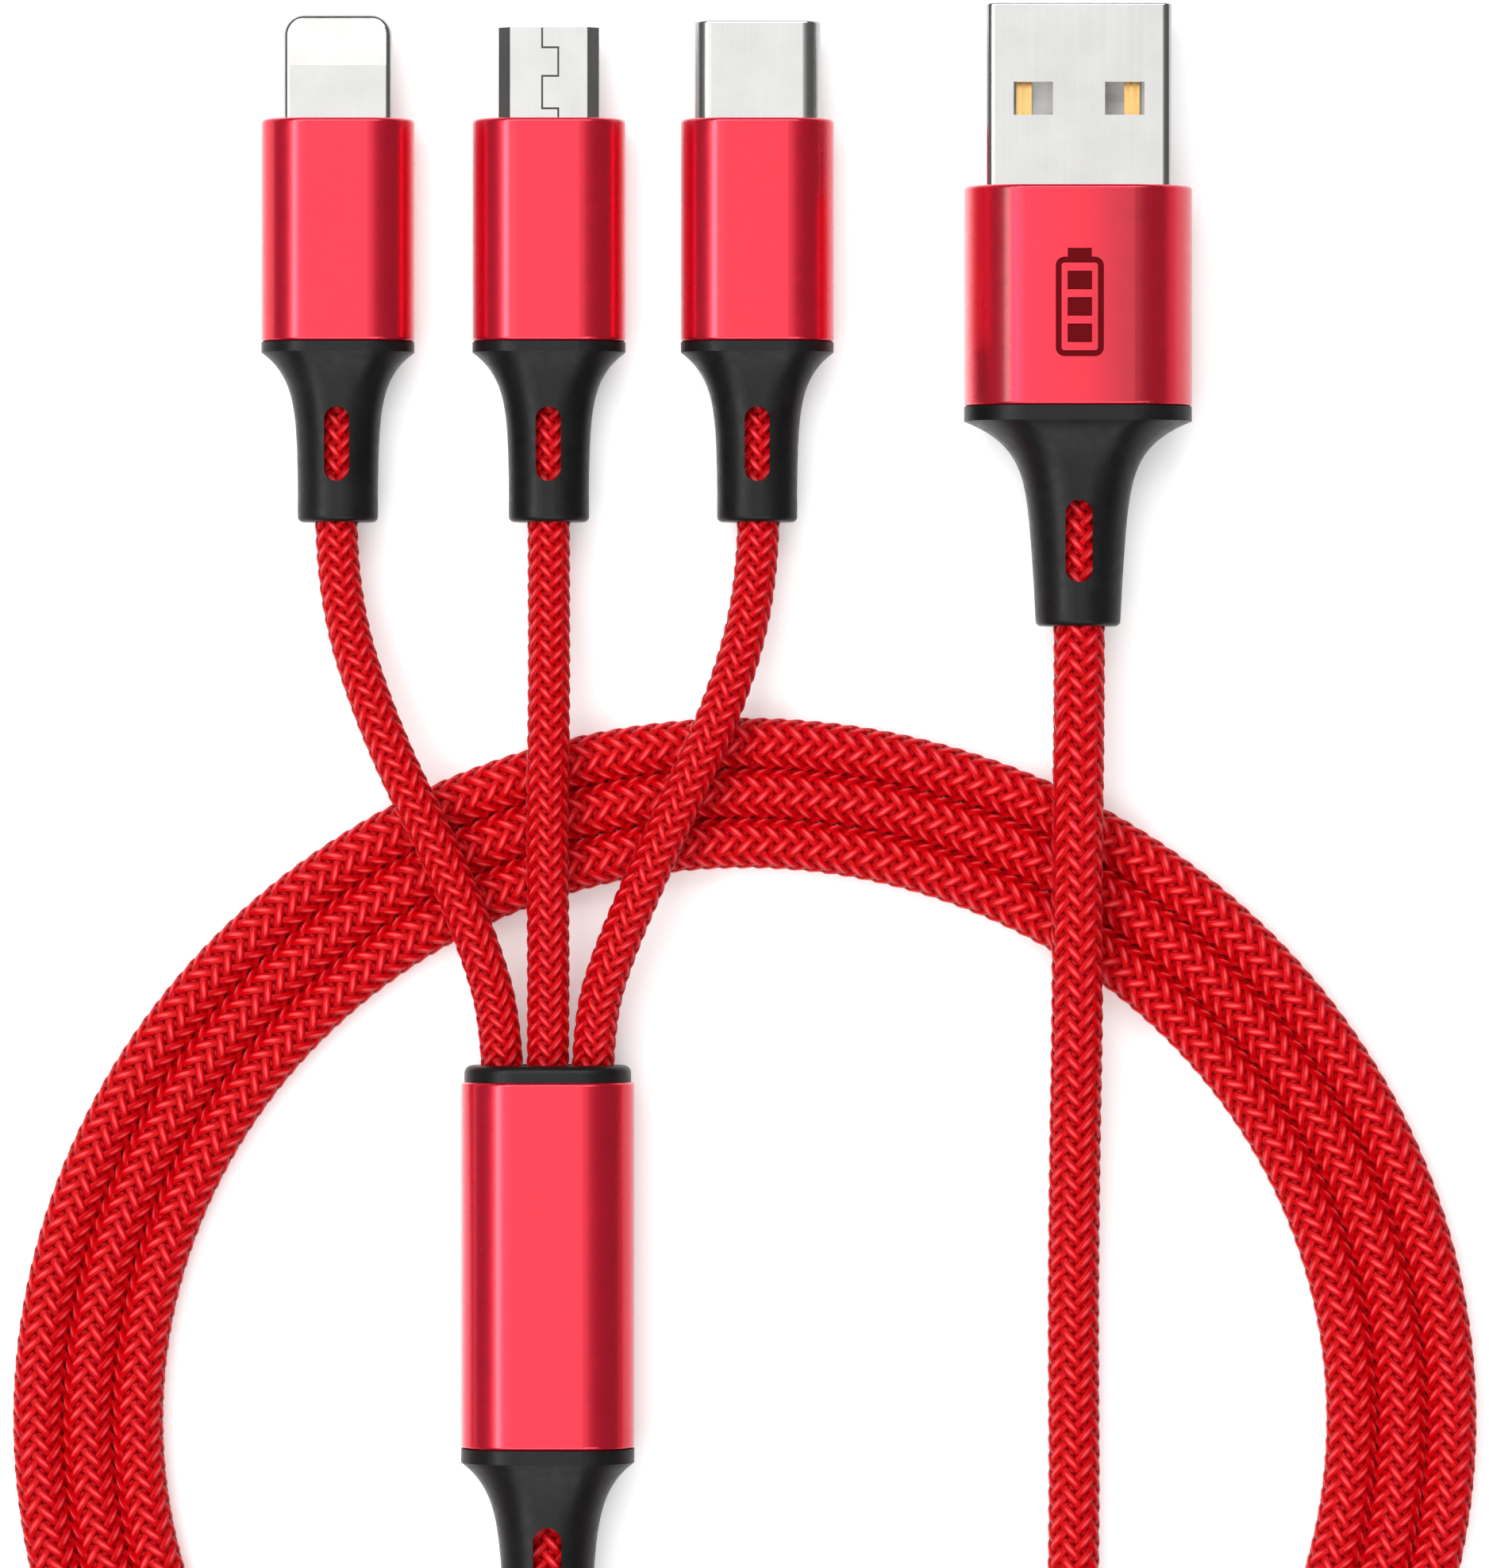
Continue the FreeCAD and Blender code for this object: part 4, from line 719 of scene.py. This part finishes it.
def strand_mesh(name, places, painted_light_levels, along, material):
    """Make one mesh of closed strands from their section corners."""
    strands, stations, corners, _ = places.shape
    index = np.arange(strands * stations * corners).reshape(strands, stations, corners)
    here = index[:, :-1]
    there = index[:, 1:]
    quads = np.stack([here, np.roll(here, -1, axis=2), np.roll(there, -1, axis=2), there], axis=-1)
    quads = quads.reshape(-1, 4)
    mesh = bpy.data.meshes.new(name)
    mesh.vertices.add(index.size)
    mesh.vertices.foreach_set("co", places.reshape(-1))
    # Each strand is closed by one face at its start, turned outwards, and one at its end.
    faces = quads.tolist() + index[:, 0, ::-1].tolist() + index[:, -1].tolist()
    loops = [corner for face in faces for corner in face]
    mesh.loops.add(len(loops))
    mesh.loops.foreach_set("vertex_index", loops)
    mesh.polygons.add(len(faces))
    starts = np.cumsum([0] + [len(face) for face in faces[:-1]])
    mesh.polygons.foreach_set("loop_start", starts)
    mesh.update(calc_edges=True)
    mesh.polygons.foreach_set("use_smooth", np.ones(len(faces), dtype=bool))
    # The painted light level of each point, stored for the braid's colour.
    attribute = mesh.attributes.new("painted_light", "FLOAT", "POINT")
    attribute.data.foreach_set("value", painted_light_levels.reshape(-1))
    layer = mesh.uv_layers.new(name="strand")
    round_share = np.arange(corners) / (corners - 1)
    u = np.broadcast_to(round_share, (strands, stations, corners)).reshape(-1)
    v = np.broadcast_to((along / MM)[None, :, None], (strands, stations, corners)).reshape(-1)
    corner_index = np.array(loops)
    layer.data.foreach_set("uv", np.stack([u[corner_index], v[corner_index]], axis=1).reshape(-1))
    mesh.materials.append(material)
    sleeve = bpy.data.objects.new(name, mesh)
    bpy.context.scene.collection.objects.link(sleeve)
    return sleeve


def line_length(line):
    """Return the length of a line of points."""
    return float(np.linalg.norm(np.diff(line, axis=0), axis=1).sum())


def finish_cord(cord, sleeves, nodes, **facts):
    """Let a cord and its sleeves ride on the root, and stand for its CAD solids."""
    for piece in (cord, *sleeves):
        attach(piece, ROOT)
    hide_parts(*nodes)
    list(facts.pop("plugs"))


class CABLE_OT_branch_cords(bpy.types.Operator):
    """Make the three braided branch cords"""

    bl_idname = "cable.branch_cords"
    bl_label = "Branch cords"

    def execute(self, context):
        cable = sizes()
        braid, core = cord_finishes()
        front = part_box("splitter_cap")[1].y
        for name, points in branch_routes().items():
            label = f"branch_{name}"
            cord, line = make_route(label + "_core", points, cable.branch_cord * CORE_RADIUS["branch"], core)
            sleeves = make_sleeve(label + "_braid", line, cable.branch_cord, cable.branch_pitch, braid, 1)
            end = points[-1]
            finish_cord(
                cord,
                sleeves,
                [f"branch_cord_{name}"],
                plugs=[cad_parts[f"{name}_boot"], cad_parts[f"{name}_casing"]],
                exit=(end[0] * MM, front, end[2] * MM),
                length=line_length(line),
                diameter=cable.branch_cord,
                far_end="connector",
                stiffness="medium",
                lay="loose",
            )
        return {"FINISHED"}


class CABLE_OT_main_cord(bpy.types.Operator):
    """Make the braided main cord with its coil of three turns"""

    bl_idname = "cable.main_cord"
    bl_label = "Main cord"

    def execute(self, context):
        cable = sizes()
        braid, core = cord_finishes()
        points = host_tail() + coil_turns() + splitter_tail()
        cord, line = make_route("main_cord_core", points, cable.main_cord * CORE_RADIUS["main"], core)
        # The sleeve is a little full, so that the coil's turns close up against each other.
        fullness = 1.03
        sleeves = make_sleeve(
            "main_cord_braid", line, cable.main_cord * fullness, cable.main_pitch, braid, 5
        )
        low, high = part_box("host_boot")
        middle = (low + high) / 2
        finish_cord(
            cord,
            sleeves,
            ["main_cord_host_end", "main_cord_coil", "main_cord_splitter_end"],
            plugs=[],
            exit=(middle.x, low.y, middle.z),
            length=line_length(line),
            diameter=cable.main_cord,
            far_end="object",
            stiffness="medium",
            lay="coiled",
        )
        return {"FINISHED"}


# ---------------------------------------------------------------- finishes of the CAD nodes


class CABLE_OT_casings(bpy.types.Operator):
    """Give the casings their anodised finish"""

    bl_idname = "cable.casings"
    bl_label = "Casings"

    def execute(self, context):
        finish = anodised_finish()
        for name in (*SMALL_PLUGS, "splitter"):
            give(f"{name}_casing", finish.material)
        give("host_casing", host_casing_finish().material)
        return {"FINISHED"}


class CABLE_OT_boots(bpy.types.Operator):
    """Give the boots and the splitter's cap their rubber finish"""

    bl_idname = "cable.boots"
    bl_label = "Boots"

    def execute(self, context):
        finish = rubber_finish()
        for name in (*PLUGS, "splitter"):
            give(f"{name}_boot", finish)
        give("splitter_cap", finish)
        return {"FINISHED"}


class CABLE_OT_tips(bpy.types.Operator):
    """Give the metal tips, their plastics and their contacts a finish"""

    bl_idname = "cable.tips"
    bl_label = "Plug tips"

    def execute(self, context):
        plating = plated_finish().material
        for node in ("host_shell", "blade_frame", "type_c_shell"):
            give(node, plating)
        give("micro_shell", seamed_finish().material)
        spring = spring_finish()
        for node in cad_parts:
            if "_latch_" in node:
                give(node, spring)
        white = plastic_finish("white_moulding", (0.82, 0.82, 0.80), 0.38)
        for node in ("host_tongue", "blade_insert"):
            give(node, white)
        black = plastic_finish("black_moulding", (0.018, 0.018, 0.02), 0.42)
        for node in ("micro_insulator", "type_c_housing"):
            give(node, black)
        gold = gold_finish()
        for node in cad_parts:
            if "_contacts" in node:
                give(node, gold)
        return {"FINISHED"}


class CABLE_OT_inner_pieces(bpy.types.Operator):
    """Give the pieces inside the casings a finish"""

    bl_idname = "cable.inner_pieces"
    bl_label = "Inner pieces"

    def execute(self, context):
        kinds = {
            "_board": board_finish(),
            "_crimp": crimp_finish(),
            "_wires": plastic_finish("wire_insulation", (0.50, 0.05, 0.04), 0.35),
            "_inner_mould": plastic_finish("natural_moulding", (0.70, 0.69, 0.62), 0.45),
        }
        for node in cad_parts:
            for ending, finish in kinds.items():
                if node.endswith(ending):
                    give(node, finish)
        return {"FINISHED"}


# ---------------------------------------------------------------- camera, floor and light


class CABLE_OT_camera(bpy.types.Operator):
    """Set up the camera straight above the cable"""

    bl_idname = "cable.camera"
    bl_label = "Camera"

    def execute(self, context):
        low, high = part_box("host_shell")
        view_middle = Vector((1.18 * MM, 2.67 * MM, 0.0))
        view_height = 101.5 * MM
        plane = (low.z + high.z) / 2
        data = bpy.data.cameras.new("camera")
        data.sensor_width = 36.0
        data.lens = 250.0
        distance = view_height * data.lens / data.sensor_width
        data.clip_start = 0.01
        data.clip_end = 20.0
        camera = bpy.data.objects.new("camera", data)
        camera.location = view_middle + Vector((0.0, 0.0, plane + distance))
        bpy.context.scene.collection.objects.link(camera)
        bpy.context.scene.camera = camera
        return {"FINISHED"}


class CABLE_OT_stage(bpy.types.Operator):
    """Lay the pale floor and hang the studio lights"""

    bl_idname = "cable.stage"
    bl_label = "Stage"

    def execute(self, context):
        bpy.ops.object.select_all(action="DESELECT")
        clear_of_cable = 0.02 * MM
        bpy.ops.mesh.primitive_plane_add(size=6.0, location=(0.0, 0.0, -clear_of_cable))
        floor = context.active_object
        floor.name = "floor"
        floor.data.materials.append(paper_finish())
        soft_light("back_light", (0.0, 0.86, 1.23), (1.4, 0.7), 10.8)
        soft_light("front_light", (0.0, -0.86, 1.23), (1.4, 0.7), 8.3)
        soft_light("left_strip", (-0.62, 0.1, 1.03), (1.2, 0.25), 4.7)
        studio_world()
        return {"FINISHED"}


def paper_finish():
    """Pale satin paper with a pearl coat, which glows a little, so shadows stay faint."""
    finish = Finish("pale_paper", (0.9, 0.9, 0.9), metallic=0.5)
    fibre = finish.spread(finish.noise(2500.0, 3.0), 0.0, 1.0)
    finish.drive("Base Color", finish.mix(fibre, (0.89, 0.89, 0.89), (0.91, 0.91, 0.91)))
    finish.bump(finish.noise(1800.0, 3.0), 0.000004, 0.3)
    finish.set("Emission Color", (1.0, 1.0, 1.0, 1.0)).set("Emission Strength", 0.24)
    return finish.material


def soft_light(name, place, size, power):
    """Hang a rectangular soft light that looks at the cable."""
    data = bpy.data.lights.new(name, "AREA")
    data.shape = "RECTANGLE"
    data.size, data.size_y = size
    data.energy = power
    light = bpy.data.objects.new(name, data)
    light.location = place
    light.rotation_euler = (-Vector(place)).to_track_quat("-Z", "Y").to_euler()
    bpy.context.scene.collection.objects.link(light)


def studio_world():
    """Make the room: a bright patch overhead, leaning to the left, and dark walls."""
    world = bpy.data.worlds.new("studio")
    bpy.context.scene.world = world
    world.use_nodes = True
    nodes = world.node_tree.nodes
    links = world.node_tree.links
    lean = math.radians(15.5)
    towards = nodes.new("ShaderNodeVectorMath")
    towards.operation = "DOT_PRODUCT"
    towards.inputs[1].default_value = (-math.sin(lean), 0.0, math.cos(lean))
    links.new(nodes.new("ShaderNodeTexCoord").outputs["Generated"], towards.inputs[0])
    ramp = nodes.new("ShaderNodeValToRGB")
    # Brightness by the cosine of the angle from the patch's middle.
    levels = ((0.0, 0.1), (0.55, 0.1), (0.78, 0.14), (0.88, 0.35), (0.93, 0.85), (0.95, 1.0), (1.0, 1.1))
    fill_ramp(ramp, [(cosine, (level, level, level)) for cosine, level in levels])
    links.new(towards.outputs["Value"], ramp.inputs["Fac"])
    background = nodes["Background"]
    links.new(ramp.outputs["Color"], background.inputs["Color"])
    background.inputs["Strength"].default_value = 1.3


class CABLE_PT_panel(bpy.types.Panel):
    """Lists the cable's sizes, colours and steps"""

    bl_idname = "CABLE_PT_panel"
    bl_label = "Charging cable"
    bl_space_type = "VIEW_3D"
    bl_region_type = "UI"
    bl_category = "Cable"

    def draw(self, context):
        layout = self.layout
        for group in (context.scene.cable_sizes, context.scene.cable_colours):
            box = layout.box()
            for name in group.__annotations__:
                box.prop(group, name)
        for step in STEPS:
            layout.operator(step.bl_idname)


STEPS = (
    CABLE_OT_camera,
    CABLE_OT_branch_cords,
    CABLE_OT_main_cord,
    CABLE_OT_casings,
    CABLE_OT_boots,
    CABLE_OT_tips,
    CABLE_OT_inner_pieces,
    CABLE_OT_stage,
)
CLASSES = (CableSizes, CableColours, *STEPS, CABLE_PT_panel)


def register():
    """Register the classes and hang the settings on the scene."""
    for item in CLASSES:
        bpy.utils.register_class(item)
    bpy.types.Scene.cable_sizes = PointerProperty(type=CableSizes)
    bpy.types.Scene.cable_colours = PointerProperty(type=CableColours)


def unregister():
    """Take the settings and the classes away again."""
    del bpy.types.Scene.cable_colours
    del bpy.types.Scene.cable_sizes
    for item in reversed(CLASSES):
        bpy.utils.unregister_class(item)


def main():
    """Run every step in order."""
    register()
    bpy.context.scene.view_settings.view_transform = "Standard"
    bpy.ops.cable.camera()
    bpy.ops.cable.branch_cords()
    bpy.ops.cable.main_cord()
    bpy.ops.cable.casings()
    bpy.ops.cable.boots()
    bpy.ops.cable.tips()
    bpy.ops.cable.inner_pieces()
    bpy.ops.cable.stage()


if __name__ == "__main__":
    main()
